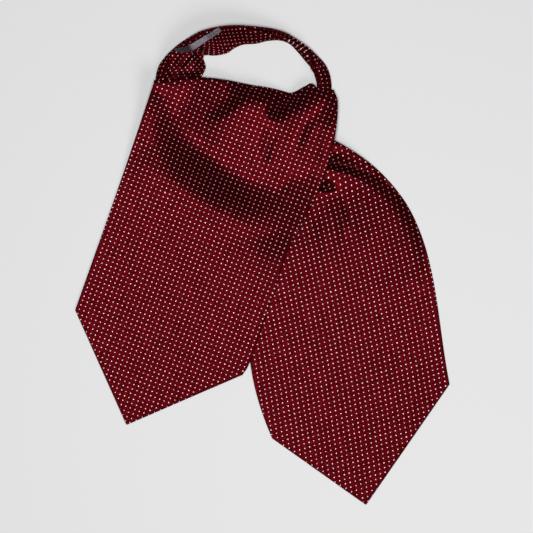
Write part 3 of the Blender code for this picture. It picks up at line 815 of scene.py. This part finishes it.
@dataclass
class Neckband:
    """The loop: a facing that slopes up from the table, and the pleated outside behind it.

    Attributes:
        edge_roll: least width of the outside's roll beyond its seam.
        slit_at: places, counted in sections, for the widths in slit.
        slit: how far the outside stands off the facing's seam there.
        slit_depth: how deep the slit is for each millimetre of its width.
        slit_share: the share of the facing beside the seam that dips into the slit.
        lip: how far the outside's edge reaches back into the slit.
        straight_at: places, counted in sections, for the shares in straight.
        straight: how straight the outside falls from its seam to its rim there, from 0 to 1.
        pleat_steps: heights of the knife pleats on the outside, as shares of its own height.
        pleat_ease: height over which a knife pleat steps in.
        rim_drop: least height from the rim up to the seam.
        evenness: how far the facing's section is pulled straight, from 0 to 1.
        settle_at: shares of the facing over which its creases set in, from its inner edge and
            from its seam.
        foot_share: radius of the outside's foot, as a share of the band's width.
        under_end: where the outside ends below the facing, from the band's inner edge.
        flare: the length of the band over which the dots go from leaning to straight.
        flare_lean: how the dots lean in the gathered flare, across and along.
        flare_gather: how close they lie there, across and along.
        dot_phase: how far the facing's dots are moved across the band.
        facing_row: the row whose length the facing's cut keeps, as a share of all its rows.
        outside_row: the same for the outside.
    """

    cloth: float = 1.2
    edge_roll: float = 1.8
    slit_at: tuple = (8.5, 10.0, 12.5, 14.2, 15.6)
    slit: tuple = (0.0, 0.9, 1.4, 1.6, 0.0)
    slit_depth: float = 4.2
    slit_share: float = 0.16
    lip: float = 0.25
    lip_rows: int = 5
    straight_at: tuple = (0.0, 5.0, 7.0, 12.0, 14.0)
    straight: tuple = (0.85, 0.8, 0.2, 0.2, 0.6)
    seam_clearance: float = 4 * SEAM_GAP
    rim_drop: float = 3.2
    rim_least: float = 3.0
    evenness: float = 0.15
    settle_at: tuple[float, float] = (0.12, 0.1)
    foot_share: float = 0.32
    foot_limits: tuple[float, float] = (3.4, 7.0)
    under_end: float = 0.6
    facing_row: float = 0.45
    outside_row: float = 0.5
    section_count: int = 240
    facing_count: int = 56
    upper_rows: int = 16
    lower_rows: int = 14
    under_rows: int = 8
    pleat_steps: tuple = (0.36, 0.66)
    pleat_depth: float = 0.7
    pleat_ease: float = 1.6
    creases: tuple = (
        Crease(((-66, 189), (-60, 190.4), (-55, 190.2), (-51, 187)), (0.0, -1.8, -2.2, -1.0), 2.6),
        Crease(((-57, 187.2), (-60.4, 183.7), (-66, 179.3), (-72.6, 174.3), (-77, 170.6)),
               (1.2, 2.6, 2.8, 2.4, 0.8), 1.3, 9.0),
        Crease(((-56.4, 187), (-54.6, 182), (-53.6, 177)), (-1.2, -2.0, 0.0), 1.5),
        Crease(((-87, 167.5), (-83, 174), (-78.5, 180), (-74, 185)), (0.8, 1.8, 1.6, 0.4), 6.0),
        Crease(((-90, 164.6), (-84, 166.6), (-77, 168)), (-2.6, -2.2, 0.0), 3.0),
        Crease(((-72, 167.4), (-62, 167.8), (-54, 168.6)), (-1.2, -2.6, -2.6), 1.8),
    )
    flare: tuple[float, float] = (52.0, 92.0)
    flare_lean: tuple[float, float] = (0.868, 0.801)
    flare_gather: tuple[float, float] = (0.868, 0.801)
    dot_phase: float = 2.6

    def sections(self) -> dict[str, np.ndarray]:
        """Read the section table at even places along the band.

        Returns:
            Arrays with one row for each section: inner edge, unit vector across, width, reach of
            the facing's seam, roll of the outside, facing heights, rim height, how straight the
            outside falls from its seam to its rim, and how wide the slit at its seam is.
        """
        table = np.array([
            (*row.outer, *row.inner, row.seam, *row.facing, row.rim) for row in BAND_SECTIONS
        ])
        number = np.linspace(0, len(table) - 1, self.section_count)
        rows = spline(table, number)
        outer, inner, reach, facing, rim = np.split(rows, (2, 4, 5, 10), axis=1)
        reach, rim, crown = reach[:, 0], rim[:, 0], facing[:, -1]
        width = np.linalg.norm(outer - inner, axis=1)
        last_stretch = (FACING_AT[-1] - FACING_AT[-2]) * reach * width
        slope = np.arctan2(crown - facing[:, -2], last_stretch)
        slit = np.interp(number, self.slit_at, self.slit)
        lean = self.cloth * np.sin(slope) + self.seam_clearance + slit + self.lip
        seam = np.minimum(reach * width, width - self.edge_roll - lean)
        rim = np.maximum(np.minimum(rim, crown - self.rim_drop), self.rim_least)
        return {
            "inner": inner, "across": (outer - inner) / width[:, None], "width": width,
            "seam": seam, "roll": width - seam - lean, "facing": facing, "rim": rim,
            "straight": np.interp(number, self.straight_at, self.straight), "slit": slit,
        }

    def facing(self, sections: dict[str, np.ndarray], creased: bool = True) -> np.ndarray:
        """Return the facing's upper side, as rows of places from its inner edge to its seam."""
        fractions = np.linspace(0, 1, self.facing_count)
        table = sections["facing"]
        heights = spline(table.T, np.interp(fractions, FACING_AT, range(len(FACING_AT)))).T
        low, high = table[:, :1], table[:, -1:]
        straight = low + fractions * (high - low)
        heights = (1 - self.evenness) * heights + self.evenness * straight
        by_seam = ease((fractions - (1 - self.slit_share)) / self.slit_share)
        heights -= self.slit_depth * sections["slit"][:, None] * by_seam
        reach = fractions * sections["seam"][:, None]
        xy = sections["inner"][:, None] + reach[..., None] * sections["across"][:, None]
        if creased:
            by_inner, by_outer = self.settle_at
            settle = ease(fractions / by_inner) * ease((1 - fractions) / by_outer)
            heights = heights + settle * relief(xy, self.creases)
        return raise_to(xy, heights).transpose(1, 0, 2)

    def outside(self, sections: dict[str, np.ndarray]) -> np.ndarray:
        """Return the pleated outside's outer face, from its seam over the rim and underneath.

        Each knife pleat is a step of the profile: its reach falls by a cloth's depth over a short
        stretch of the side, and comes back slowly below it.
        """
        def column(values: np.ndarray) -> np.ndarray:
            return values[:, None]

        width, roll, rim, straight, slit = (
            column(sections[key]) for key in ("width", "roll", "rim", "straight", "slit")
        )
        crown = column(sections["facing"][:, -1])
        foot = np.clip(self.foot_share * width, *self.foot_limits)
        upper = np.radians(np.linspace(0, 90, self.upper_rows))
        lower = np.radians(np.linspace(0, 90, self.lower_rows + 1)[1:])
        below = np.linspace(0, 1, self.under_rows + 1)[1:]
        lip = np.linspace(1, 0, self.lip_rows + 1)[:-1]
        reach = np.concatenate((
            width - roll - (self.lip + slit) * lip,
            width - roll + roll * np.sin(upper),
            width - foot + foot * np.cos(lower),
            (width - foot) * (1 - below) + self.under_end * below,
        ), axis=1)
        height = np.concatenate((
            crown - self.slit_depth * slit * ease(lip),
            rim + (crown - rim) * ((1 - straight) * np.cos(upper) + straight * (1 - np.sin(upper))),
            rim - rim * np.sin(lower),
            np.zeros((len(width), self.under_rows)),
        ), axis=1)
        share = height / crown
        for step in self.pleat_steps:
            fall = (share - step) * crown / self.pleat_ease
            tuck = self.pleat_depth * (1 - ease(0.5 + fall)) * ease(share / step)
            reach -= np.where(reach > width - foot, tuck, 0.0)
        xy = sections["inner"][:, None] + reach[..., None] * sections["across"][:, None]
        return raise_to(xy, height).transpose(1, 0, 2)

    def cut(self, grid: np.ndarray, reference: float, leaning: bool = False) -> np.ndarray:
        """Place a strip on its cut, whose pin dots follow the band's length.

        Args:
            grid: places, as rows from one long edge to the other.
            reference: the row, as a share of all of them, whose length is kept along the band.
            leaning: whether the dots lean in the gathered flare at the band's left end.

        Returns:
            One cut place for each place of the grid, counted in pin dots.
        """
        row = grid[int(reference * (len(grid) - 1))]
        step = np.concatenate(([0.0], np.linalg.norm(np.diff(row, axis=0), axis=1)))
        length = np.cumsum(step)
        width = np.linalg.norm(np.diff(grid, axis=0), axis=-1)
        reach = np.concatenate((np.zeros((1, grid.shape[1])), np.cumsum(width, axis=0)))
        across, along_band = reach, np.broadcast_to(length, reach.shape)
        if leaning:
            start, end = self.flare
            share = 1 - ease((length - start) / (end - start))
            leaned = np.cumsum(share * step)
            across = reach * (1 + (self.flare_gather[0] - 1) * share)
            across = across + self.flare_lean[0] * leaned + self.dot_phase
            along_band = (length + (self.flare_gather[1] - 1) * leaned
                          - self.flare_lean[1] * share * reach)
        return np.stack((across / DOT_ACROSS, along_band / DOT_ALONG), -1)

    def build_facing(self) -> Sheet:
        """Make the facing's shell."""
        sections = self.sections()
        top = self.facing(sections)
        plain = self.facing(sections, creased=False)
        leaning = self.cut(plain, self.facing_row, leaning=True)
        under = top - self.cloth * grid_normals(top)
        return cloth_shell("neckband_facing_cloth", under, self.cloth, leaning,
                           straight_cut=self.cut(top, self.facing_row))

    def build_outside(self) -> Sheet:
        """Make the pleated outside's shell."""
        outside = self.outside(self.sections())
        under = outside - self.cloth * grid_normals(outside)
        cut = self.cut(outside, self.outside_row)
        return cloth_shell("neckband_outer_cloth", under, self.cloth, cut)


@dataclass
class LoopLabel:
    """A bare ribbon laid across the facing, between its two sewn ends.

    Attributes:
        band: the neckband whose facing it lies on.
        half_width: half its width at even steps along it.
        bow: how far its middle stands off the facing.
        cut_unit: millimetres across it for one step of its cut.
        cut_length: steps of its cut along it.
    """

    band: Neckband
    path: Path = (
        (-77.6, 190.6), (-71.1, 190.9), (-64.6, 192.9), (-57.2, 197.2), (-49.6, 201.8),
        (-42.0, 205.9), (-37.6, 208.6),
    )
    half_width: tuple[float, ...] = (1.3, 2.2, 2.5, 2.4, 2.2, 2.0, 1.9)
    thickness: float = 0.55
    bow: float = 0.9
    edge_turn: float = 0.2
    cut_unit: float = 4.0
    cut_length: float = 10.0
    count: int = 70
    rows: int = 11
    neighbours: int = 4
    nearness: float = 0.05

    def build(self) -> bpy.types.Object:
        """Make the ribbon, which stands off the facing a little more at its middle."""
        top = self.band.facing(self.band.sections())
        middle = smooth_through(self.path, self.count)
        run = unit(np.gradient(middle, axis=0))
        across = np.stack((-run[:, 1], run[:, 0]), axis=-1)
        place = np.linspace(0, 1, self.count)[None, :, None]
        half = smooth_read(self.half_width, place)
        side = np.linspace(-1, 1, self.rows)[:, None, None]
        xy = middle + side * half * across
        seat = raise_to(xy, self.height_over(top, xy))
        lift = SEAM_GAP + self.bow * np.sin(math.pi * place)
        across_cut = (side * half)[..., 0] / self.cut_unit
        uv = np.stack(np.broadcast_arrays(across_cut, self.cut_length * place[..., 0]), -1)
        under = seat + lift * grid_normals(seat)
        return cloth_shell("loop_label_ribbon", under, self.thickness, uv, self.edge_turn).piece

    def height_over(self, top: np.ndarray, xy: np.ndarray) -> np.ndarray:
        """Return the facing's height at plan places, as the mean of its nearest places."""
        flat = top.reshape(-1, 3)
        heights = np.empty(xy.shape[:-1])
        for index in np.ndindex(heights.shape):
            gap = np.hypot(*(flat[:, :2] - xy[index]).T)
            nearest = np.argpartition(gap, self.neighbours)[:self.neighbours]
            weight = 1 / (gap[nearest] + self.nearness)
            heights[index] = (flat[nearest, 2] * weight).sum() / weight.sum()
        return heights


@dataclass
class FoldedLayers:
    """The plies hidden where the band's ends cross, as one rounded form with layered edges.

    Attributes:
        front: the blade that it lies under.
        clearance: how far it stays below that blade.
        notch: how deep the groove between two plies is.
        set_back: how much farther in each lower ply ends.
        edge_share: height of its top at its side, as a share of the height that it could have.
        side_share: height of its layered side, as such a share.
        inner_rings: first, last and number of its top's rings, by their share of its reach.
        outer_rings: the same for the rings near its side.
        under_rings: shares of its reach for the rings of its flat under side.
    """

    front: FrontBlade
    centre: tuple[float, float] = (0.0, 105.0)
    outline: Path = (
        (-91.0, 149.4), (-58.0, 149.4), (-53.0, 146.2), (-40.0, 141.0), (0.0, 139.0), (30.0, 140.5),
        (43.5, 145.6), (49.4, 149.4), (61.2, 149.4), (60.0, 128.0), (56.4, 108.6), (49.6, 85.0),
        (42.8, 62.4), (24.0, 61.0), (0.0, 60.0), (-30.0, 62.0), (-58.0, 74.0), (-80.0, 100.0),
        (-90.0, 125.0),
    )
    clearance: float = 1.3
    plies: int = 5
    notch: float = 0.9
    set_back: float = 0.1
    foot_inset: float = 1.5
    spokes: int = 200
    edge_radius: float = 7.0
    edge_share: float = 0.55
    side_share: float = 0.5
    inner_rings: tuple[float, float, int] = (0.05, 0.8, 16)
    outer_rings: tuple[float, float, int] = (0.83, 0.97, 8)
    under_rings: tuple[float, float] = (0.5, 0.05)
    ply_angles: tuple[float, ...] = (75.0, 40.0, 0.0, -40.0, -75.0)

    def top(self, xy: np.ndarray) -> np.ndarray:
        """Return its upper side, held clear of the front blade."""
        return self.front.height(xy) - self.clearance * slope_factor(self.front.height, xy)

    def build(self) -> bpy.types.Object:
        """Make the form from rings that shrink towards its middle, above and below its side."""
        centre = np.array(self.centre)
        outline = np.vstack((self.outline, self.outline[:1]))
        edge = along(outline, np.linspace(0, 1, self.spokes + 1)[:-1])
        reach = np.linalg.norm(edge - centre, axis=1)
        outward = (edge - centre) / reach[:, None]
        rings = []
        for fraction in (*np.linspace(*self.inner_rings), *np.linspace(*self.outer_rings)):
            xy = centre + fraction * (edge - centre)
            inset = np.clip((1 - fraction) * reach / self.edge_radius, 0, 1)
            rounding = np.sqrt(1 - (1 - inset) ** 2)
            share = self.edge_share + (1 - self.edge_share) * rounding
            rings.append(raise_to(xy, self.top(xy) * share))
        side = self.side_share * self.top(edge)
        for ply in range(self.plies):
            for angle in np.radians(self.ply_angles):
                share = 1 - (ply + 0.5 - 0.5 * math.sin(angle)) / self.plies
                inset = self.notch * (1 - math.cos(angle)) + self.set_back * ply
                rings.append(raise_to(edge - inset * outward, side * share))
        table = np.zeros(self.spokes)
        rings.append(raise_to(edge - self.foot_inset * outward, table))
        for fraction in self.under_rings:
            rings.append(raise_to(centre + fraction * (edge - centre), table))
        vertices = np.stack(rings)
        number = np.arange(len(rings) * self.spokes).reshape(len(rings), self.spokes)
        following = np.roll(number, -1, axis=1)
        quads = [np.stack((
            following[:-1], number[:-1], number[1:], following[1:],
        ), -1).reshape(-1, 4)]
        for ring, flip in ((0, 1), (-1, -1)):
            rim = number[ring]
            half = self.spokes // 2
            left, right = rim[:half], rim[::-1][:half]
            cap = np.stack((left[:-1], left[1:], right[1:], right[:-1]), -1)
            quads.append(cap[:, ::flip])
        places = vertices.reshape(-1, 3)
        uv = places[:, :2] / (DOT_ACROSS, DOT_ALONG)
        piece = make_mesh("folded_layers", places, np.concatenate(quads), uv)
        if enclosed_volume(piece) < 0:
            piece.data.flip_normals()
        return piece


class Weave:
    """The node graph of one woven material, built up a node at a time."""

    def __init__(self, name: str) -> None:
        """Start a material with its shader linked."""
        self.material = bpy.data.materials.new(name)
        self.material.use_nodes = True
        self.tree = self.material.node_tree
        self.shader = self.tree.nodes["Principled BSDF"]

    def node(self, kind: str, inputs: dict | None = None, **settings) -> bpy.types.Node:
        """Add a node.

        Args:
            kind: the node's type, without its ShaderNode prefix.
            inputs: a value or a socket to link for each input, by name or number.
            **settings: attributes of the node.

        Returns:
            The node.
        """
        item = self.tree.nodes.new("ShaderNode" + kind)
        for key, value in settings.items():
            setattr(item, key, value)
        for key, value in (inputs or {}).items():
            if isinstance(value, bpy.types.NodeSocket):
                self.tree.links.new(value, item.inputs[key])
            else:
                item.inputs[key].default_value = value
        return item

    def math(self, operation: str, *values: object) -> bpy.types.NodeSocket:
        """Return the result of a maths node on numbers or sockets."""
        return self.node("Math", dict(enumerate(values)), operation=operation).outputs[0]

    def vector(self, operation: str, *values: object) -> bpy.types.NodeSocket:
        """Return the vector result of a vector maths node."""
        return self.node("VectorMath", dict(enumerate(values)), operation=operation).outputs[0]

    def ramp(self, value: object, start: object, end: object, low: float, high: float):
        """Return value mapped smoothly from start..end to low..high."""
        inputs = {"Value": value, "From Min": start, "From Max": end, "To Min": low, "To Max": high}
        return self.node("MapRange", inputs, interpolation_type="SMOOTHSTEP").outputs[0]

    def mix(self, factor: object, first: object, second: object) -> bpy.types.NodeSocket:
        """Return the colour between first and second."""
        item = self.node("Mix", data_type="RGBA")
        for socket, value in ((0, factor), (6, first), (7, second)):
            if isinstance(value, bpy.types.NodeSocket):
                self.tree.links.new(value, item.inputs[socket])
            else:
                item.inputs[socket].default_value = value
        return item.outputs[2]

    def noise(self, coordinates: object, scale: float, detail: float = 2.0) -> bpy.types.NodeSocket:
        """Return smooth noise from 0 to 1."""
        inputs = {"Vector": coordinates, "Scale": scale, "Detail": detail}
        return self.node("TexNoise", inputs).outputs["Fac"]

    def wave(self, place: object, turns: float) -> bpy.types.NodeSocket:
        """Return an even wave from 0 to 1 of place times turns."""
        sine = self.math("SINE", self.math("MULTIPLY", place, turns))
        return self.math("MULTIPLY_ADD", sine, 0.5, 0.5)

    def bump(self, height: object, distance: float, strength: float) -> None:
        """Raise the surface by height times a distance in metres."""
        inputs = {"Height": height, "Distance": distance, "Strength": strength}
        self.tree.links.new(self.node("Bump", inputs).outputs[0], self.shader.inputs["Normal"])

    def colour(self, value: object) -> None:
        """Give the shader its colour."""
        if isinstance(value, bpy.types.NodeSocket):
            self.tree.links.new(value, self.shader.inputs["Base Color"])
        else:
            self.shader.inputs["Base Color"].default_value = value

    def set(self, **values: object) -> None:
        """Set plain values on the shader, by input name with underscores for spaces."""
        for key, value in values.items():
            self.shader.inputs[key.replace("_", " ")].default_value = value


@dataclass(frozen=True)
class PinDotSilk:
    """Silk twill with a woven pin dot.

    Attributes:
        name: the material's name.
        ground: linear colour of the ground.
        shade: linear colour of its deeper threads.
        dot: linear colour of the dots.
        dot_radius: in millimetres.
        thread: width of a twill rib in millimetres.
        roughness: spread of the silk's lustre.
        lustre: how much of the light the threads reflect in their own colour without scattering.
        edge: tint of the lustre where the cloth is seen nearly edge on.
        wander_scale: how often the dots' straying changes, for each dot.
        wander: how far the dots stray, as a share of their distance.
        dot_spread: least and greatest radius of a dot, as shares of dot_radius.
        dot_fade: half the width in millimetres over which a dot's edge fades.
        floats: ribs of a dot's long threads for each rib of the twill.
        float_shade: how much of the ground shows between those threads.
        rib_shade: how much deeper the colour is beside a rib.
        mottle_scale: grains of the threads' mottle for each metre.
        mottle_range: the part of its noise that is drawn out to the full mottle.
        mottle: how much of the shade the mottle mixes in.
        slub_scale: uneven patches for each metre.
        slub: how much deeper the colour is in them.
        rise: height of the ribs, the dots and the dots' threads, in steps of rise_depth.
        rise_depth: metres that the bump stands for.
        rise_strength: how much of the bump shows.
    """

    name: str
    ground: tuple = (0.100, 0.0026, 0.0058, 1.0)
    shade: tuple = (0.019, 0.0003, 0.0005, 1.0)
    dot: tuple = (0.98, 0.70, 0.74, 1.0)
    dot_radius: float = 0.445
    thread: float = 0.42
    roughness: float = 0.37
    lustre: float = 0.6
    edge: tuple = (0.25, 0.05, 0.08, 1.0)
    wander_scale: float = 2.1
    wander: float = 0.16
    dot_spread: tuple[float, float] = (0.93, 1.05)
    dot_fade: float = 0.14
    floats: float = 1.3
    float_shade: float = 0.22
    rib_shade: float = 0.15
    mottle_scale: float = 1000.0
    mottle_range: tuple[float, float] = (0.28, 0.72)
    mottle: float = 0.85
    slub_scale: float = 38.0
    slub: float = 0.1
    rise: tuple[float, float, float] = (0.22, 0.5, 0.15)
    rise_depth: float = 0.00022
    rise_strength: float = 0.55

    def material(self) -> bpy.types.Material:
        """Build the material from the piece's cut, counted in pin dots."""
        w = Weave(self.name)
        cut = w.node("UVMap", uv_map="cut").outputs[0]
        body = w.node("TexCoord").outputs["Object"]
        dot = self.pin_dot(w, cut)
        size = w.vector("MULTIPLY", cut, (DOT_ACROSS, DOT_ALONG, 0.0))
        apart = w.node("SeparateXYZ", {0: size}).outputs
        turns = 2 * math.pi / self.thread
        ribs = w.wave(w.math("ADD", apart[0], apart[1]), turns)
        floats = w.wave(apart[1], self.floats * turns)

        mottle = w.ramp(w.noise(body, self.mottle_scale, 1.0), *self.mottle_range, 0.0, self.mottle)
        slub = w.noise(body, self.slub_scale, 2.0)
        depth = w.math("MULTIPLY_ADD", ribs, self.rib_shade, mottle)
        depth = w.math("MULTIPLY_ADD", slub, self.slub, depth)
        ground = w.mix(depth, self.ground, self.shade)
        bright = w.mix(w.math("MULTIPLY", floats, self.float_shade), self.dot, self.ground)
        w.colour(w.mix(dot, ground, bright))

        rib_rise, dot_rise, float_rise = self.rise
        height = w.math("MULTIPLY_ADD", ribs, rib_rise, w.math("MULTIPLY", dot, dot_rise))
        height = w.math("MULTIPLY_ADD", floats, w.math("MULTIPLY", dot, float_rise), height)
        w.bump(height, self.rise_depth, self.rise_strength)
        w.set(Roughness=self.roughness, Metallic=self.lustre, Specular_Tint=self.edge,
              Specular_IOR_Level=0.0)
        return w.material

    def pin_dot(self, w: Weave, cut: bpy.types.NodeSocket) -> bpy.types.NodeSocket:
        """Return 1 inside the dots and 0 between them, with a soft edge."""
        stray = w.node("TexNoise", {"Vector": cut, "Scale": self.wander_scale, "Detail": 1.0})
        stray = w.vector("SUBTRACT", stray.outputs["Color"], (0.5, 0.5, 0.5))
        place = w.vector("ADD", cut, w.vector("MULTIPLY", stray, (self.wander, self.wander, 0.0)))
        cell = w.node("TexWhiteNoise", {"Vector": w.vector("FLOOR", place)}).outputs["Value"]
        offset = w.vector("SUBTRACT", w.vector("FRACTION", place), (0.5, 0.5, 0.0))
        offset = w.vector("MULTIPLY", offset, (DOT_ACROSS, DOT_ALONG, 0.0))
        gap = w.node("VectorMath", {0: offset}, operation="LENGTH").outputs["Value"]
        least, greatest = (share * self.dot_radius for share in self.dot_spread)
        edge = w.math("SUBTRACT", gap, w.ramp(cell, 0.0, 1.0, least, greatest))
        return w.ramp(edge, -self.dot_fade, self.dot_fade, 1.0, 0.0)


@dataclass(frozen=True)
class Ribbon:
    """A plain woven ribbon with fine cross ribs, with painted shade towards both ends.

    Attributes:
        name: the material's name.
        light: linear colour of its brightest threads.
        dark: linear colour of its deepest threads, and of the painted shade at its two ends.
        ribs: cross ribs for each step of its cut.
        rib_shade: how much darker it is beside a rib.
        mottle: scale of its mottle for each metre, the part of the noise that is drawn out, and
            the least and greatest darkness that it gives.
        first_end_shade: steps of the cut over which the painted shade at its first end fades out, and
            how dark that shade is.
        last_end_shade: the same for the painted shade at its last end.
        rise_depth: metres that the bump stands for.
        rise_strength: how much of the bump shows.
    """

    name: str = "grey ribbon"
    light: tuple = (0.36, 0.32, 0.37, 1.0)
    dark: tuple = (0.030, 0.022, 0.029, 1.0)
    ribs: float = 5.0
    rib_shade: float = 0.22
    mottle: tuple = (900.0, (0.3, 0.7), (0.05, 0.45))
    # Painted shade at the ribbon's two ends: where it fades out along the cut, and how dark it is.
    first_end_shade: tuple[float, float, float] = (2.6, 4.0, 0.75)
    last_end_shade: tuple[float, float, float] = (6.4, 7.6, 0.34)
    rise_depth: float = 0.00012
    rise_strength: float = 0.5
    roughness: float = 0.55
    reflection: float = 0.15

    def material(self) -> bpy.types.Material:
        """Build the material, with its ribs across the ribbon's length."""
        w = Weave(self.name)
        apart = w.node("SeparateXYZ", {0: w.node("UVMap", uv_map="cut").outputs[0]}).outputs
        rib = w.wave(apart[1], 2 * math.pi * self.ribs)
        body = w.node("TexCoord").outputs["Object"]
        scale, drawn_out, darkness = self.mottle
        mottle = w.ramp(w.noise(body, scale), *drawn_out, *darkness)
        depth = w.math("MULTIPLY_ADD", rib, self.rib_shade, mottle)
        # Painted shade, darkening the ribbon towards each of its two ends.
        start, end, most = self.first_end_shade
        depth = w.math("ADD", depth, w.ramp(apart[1], start, end, most, 0.0))
        start, end, most = self.last_end_shade
        depth = w.math("ADD", depth, w.ramp(apart[1], start, end, 0.0, most))
        w.colour(w.mix(depth, self.light, self.dark))
        w.bump(rib, self.rise_depth, self.rise_strength)
        w.set(Roughness=self.roughness, Specular_IOR_Level=self.reflection)
        return w.material


@dataclass(frozen=True)
class Paper:
    """The plain pale surface that the cravat lies on."""

    name: str = "pale paper"
    shade: float = 0.81
    roughness: float = 0.9

    def material(self) -> bpy.types.Material:
        """Build the material."""
        w = Weave(self.name)
        w.colour((self.shade, self.shade, self.shade, 1.0))
        w.set(Roughness=self.roughness, Specular_IOR_Level=0.0)
        return w.material


@dataclass(frozen=True)
class Softbox:
    """One area light, square, aimed at the cravat."""

    name: str
    place: tuple[float, float, float]
    size: float
    power: float


@dataclass
class Studio:
    """The floor, the lights and the camera, none of which belongs to the object.

    Attributes:
        floor_size: side of the floor.
        floor_drop: how far the floor lies below the cravat, so that they never share a face.
        paper: the floor's finish.
        lights: the area lights.
        fill: strength of the light from all round.
        view_width: width of the table that the camera sees.
        view_centre: the place on the table that it looks down on.
        view_height: its height, far enough up for the flat look of a product picture.
        view_depth: how far it sees.
        sensor: width of its sensor in millimetres.
    """

    floor_size: float = 6.0
    floor_drop: float = 0.0002
    paper: Paper = Paper()
    lights: tuple[Softbox, ...] = (
        Softbox("overhead", (-0.1, 0.06, 2.2), 0.7, 36.5),
        Softbox("lower right", (1.0, -1.2, 1.4), 1.0, 12.5),
    )
    fill: float = 0.05
    view_width: float = 0.4738
    view_centre: tuple[float, float] = (0.00373, -0.0016)
    view_height: float = 5.0
    view_depth: float = 20.0
    sensor: float = 36.0

    def build(self) -> bpy.types.Object:
        """Make the studio.

        Returns:
            The floor.
        """
        bpy.context.scene.view_settings.view_transform = "Standard"
        floor = self.make_floor()
        for light in self.lights:
            self.make_light(light)
        self.make_fill()
        self.make_camera()
        return floor

    def make_fill(self) -> None:
        """Light the scene faintly and evenly from all round."""
        world = bpy.data.worlds.new("studio fill")
        world.use_nodes = True
        background = world.node_tree.nodes["Background"]
        background.inputs["Color"].default_value = (1.0, 1.0, 1.0, 1.0)
        background.inputs["Strength"].default_value = self.fill
        bpy.context.scene.world = world

    def make_camera(self) -> None:
        """Make the camera, which looks straight down."""
        camera = bpy.data.cameras.new("camera")
        camera.sensor_width = self.sensor
        camera.lens = self.sensor * self.view_height / self.view_width
        camera.clip_end = self.view_depth
        holder = bpy.data.objects.new("camera", camera)
        holder.location = (*self.view_centre, self.view_height)
        bpy.context.scene.collection.objects.link(holder)
        bpy.context.scene.camera = holder

    def make_floor(self) -> bpy.types.Object:
        """Make the floor as one flat square."""
        half = self.floor_size / 2
        mesh = bpy.data.meshes.new("floor")
        mesh.from_pydata([(-half, -half, 0), (half, -half, 0), (half, half, 0), (-half, half, 0)],
                         [], [(0, 1, 2, 3)])
        mesh.materials.append(self.paper.material())
        floor = bpy.data.objects.new("floor", mesh)
        floor.location = (0.0, 0.0, -self.floor_drop)
        bpy.context.scene.collection.objects.link(floor)
        return floor

    def make_light(self, light: Softbox) -> None:
        """Make an area light that the camera doesn't see."""
        data = bpy.data.lights.new(light.name, "AREA")
        data.size = light.size
        data.energy = light.power
        holder = bpy.data.objects.new(light.name, data)
        holder.location = light.place
        aim = Vector((0.0, 0.0, 0.0)) - holder.location
        holder.rotation_euler = aim.to_track_quat("-Z", "Y").to_euler()
        holder.visible_camera = False
        bpy.context.scene.collection.objects.link(holder)


@dataclass
class Cravat:
    """All the pieces of the cravat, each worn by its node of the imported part."""

    rear: RearBlade = field(default_factory=RearBlade)
    band: Neckband = field(default_factory=Neckband)

    def build(self) -> None:
        """Make every piece, dress it and log the cut of each sheet."""
        front = FrontBlade(self.rear)
        self.dress(front_sheet := front.build(), "front_blade", PinDotSilk("blade silk"))
        self.dress(rear_sheet := self.rear.build(), "rear_blade", PinDotSilk("rear blade silk"))
        self.dress(facing := self.band.build_facing(), "neckband_facing", PinDotSilk("facing silk"))
        self.dress(outside := self.band.build_outside(), "neckband_outer", PinDotSilk("band silk"))
        label = LoopLabel(self.band).build()
        self.wear(label, "loop_label", Ribbon().material())
        layers = FoldedLayers(front).build()
        self.wear(layers, "knot_layers", PinDotSilk("under layer silk").material())
        self.declare(front_sheet)
        self.declare(rear_sheet)
        self.declare(facing)
        self.declare(outside)

    def dress(self, sheet: Sheet, node: str, silk: PinDotSilk) -> None:
        """Put a sheet in its node's place with its silk."""
        self.wear(sheet.piece, node, silk.material())

    def wear(self, piece: bpy.types.Object, node: str,
             material: bpy.types.Material) -> None:
        """Put a piece in its node's place."""
        piece.data.materials.append(material)
        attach(piece, "root")
        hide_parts(node)
        LOG.info("%s: %d faces", piece.name, len(piece.data.polygons))

    def declare(self, sheet: Sheet) -> None:
        """Log the flat size of a sheet's cut."""
        LOG.info("%s: cut %.3f x %.3f m", sheet.piece.name, *sheet.flat)


def main() -> None:
    """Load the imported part, dress it and set it in the studio."""
    logging.basicConfig(level=logging.INFO, format="%(message)s")
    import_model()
    Cravat().build()
    Studio().build()


if __name__ == "__main__":
    main()
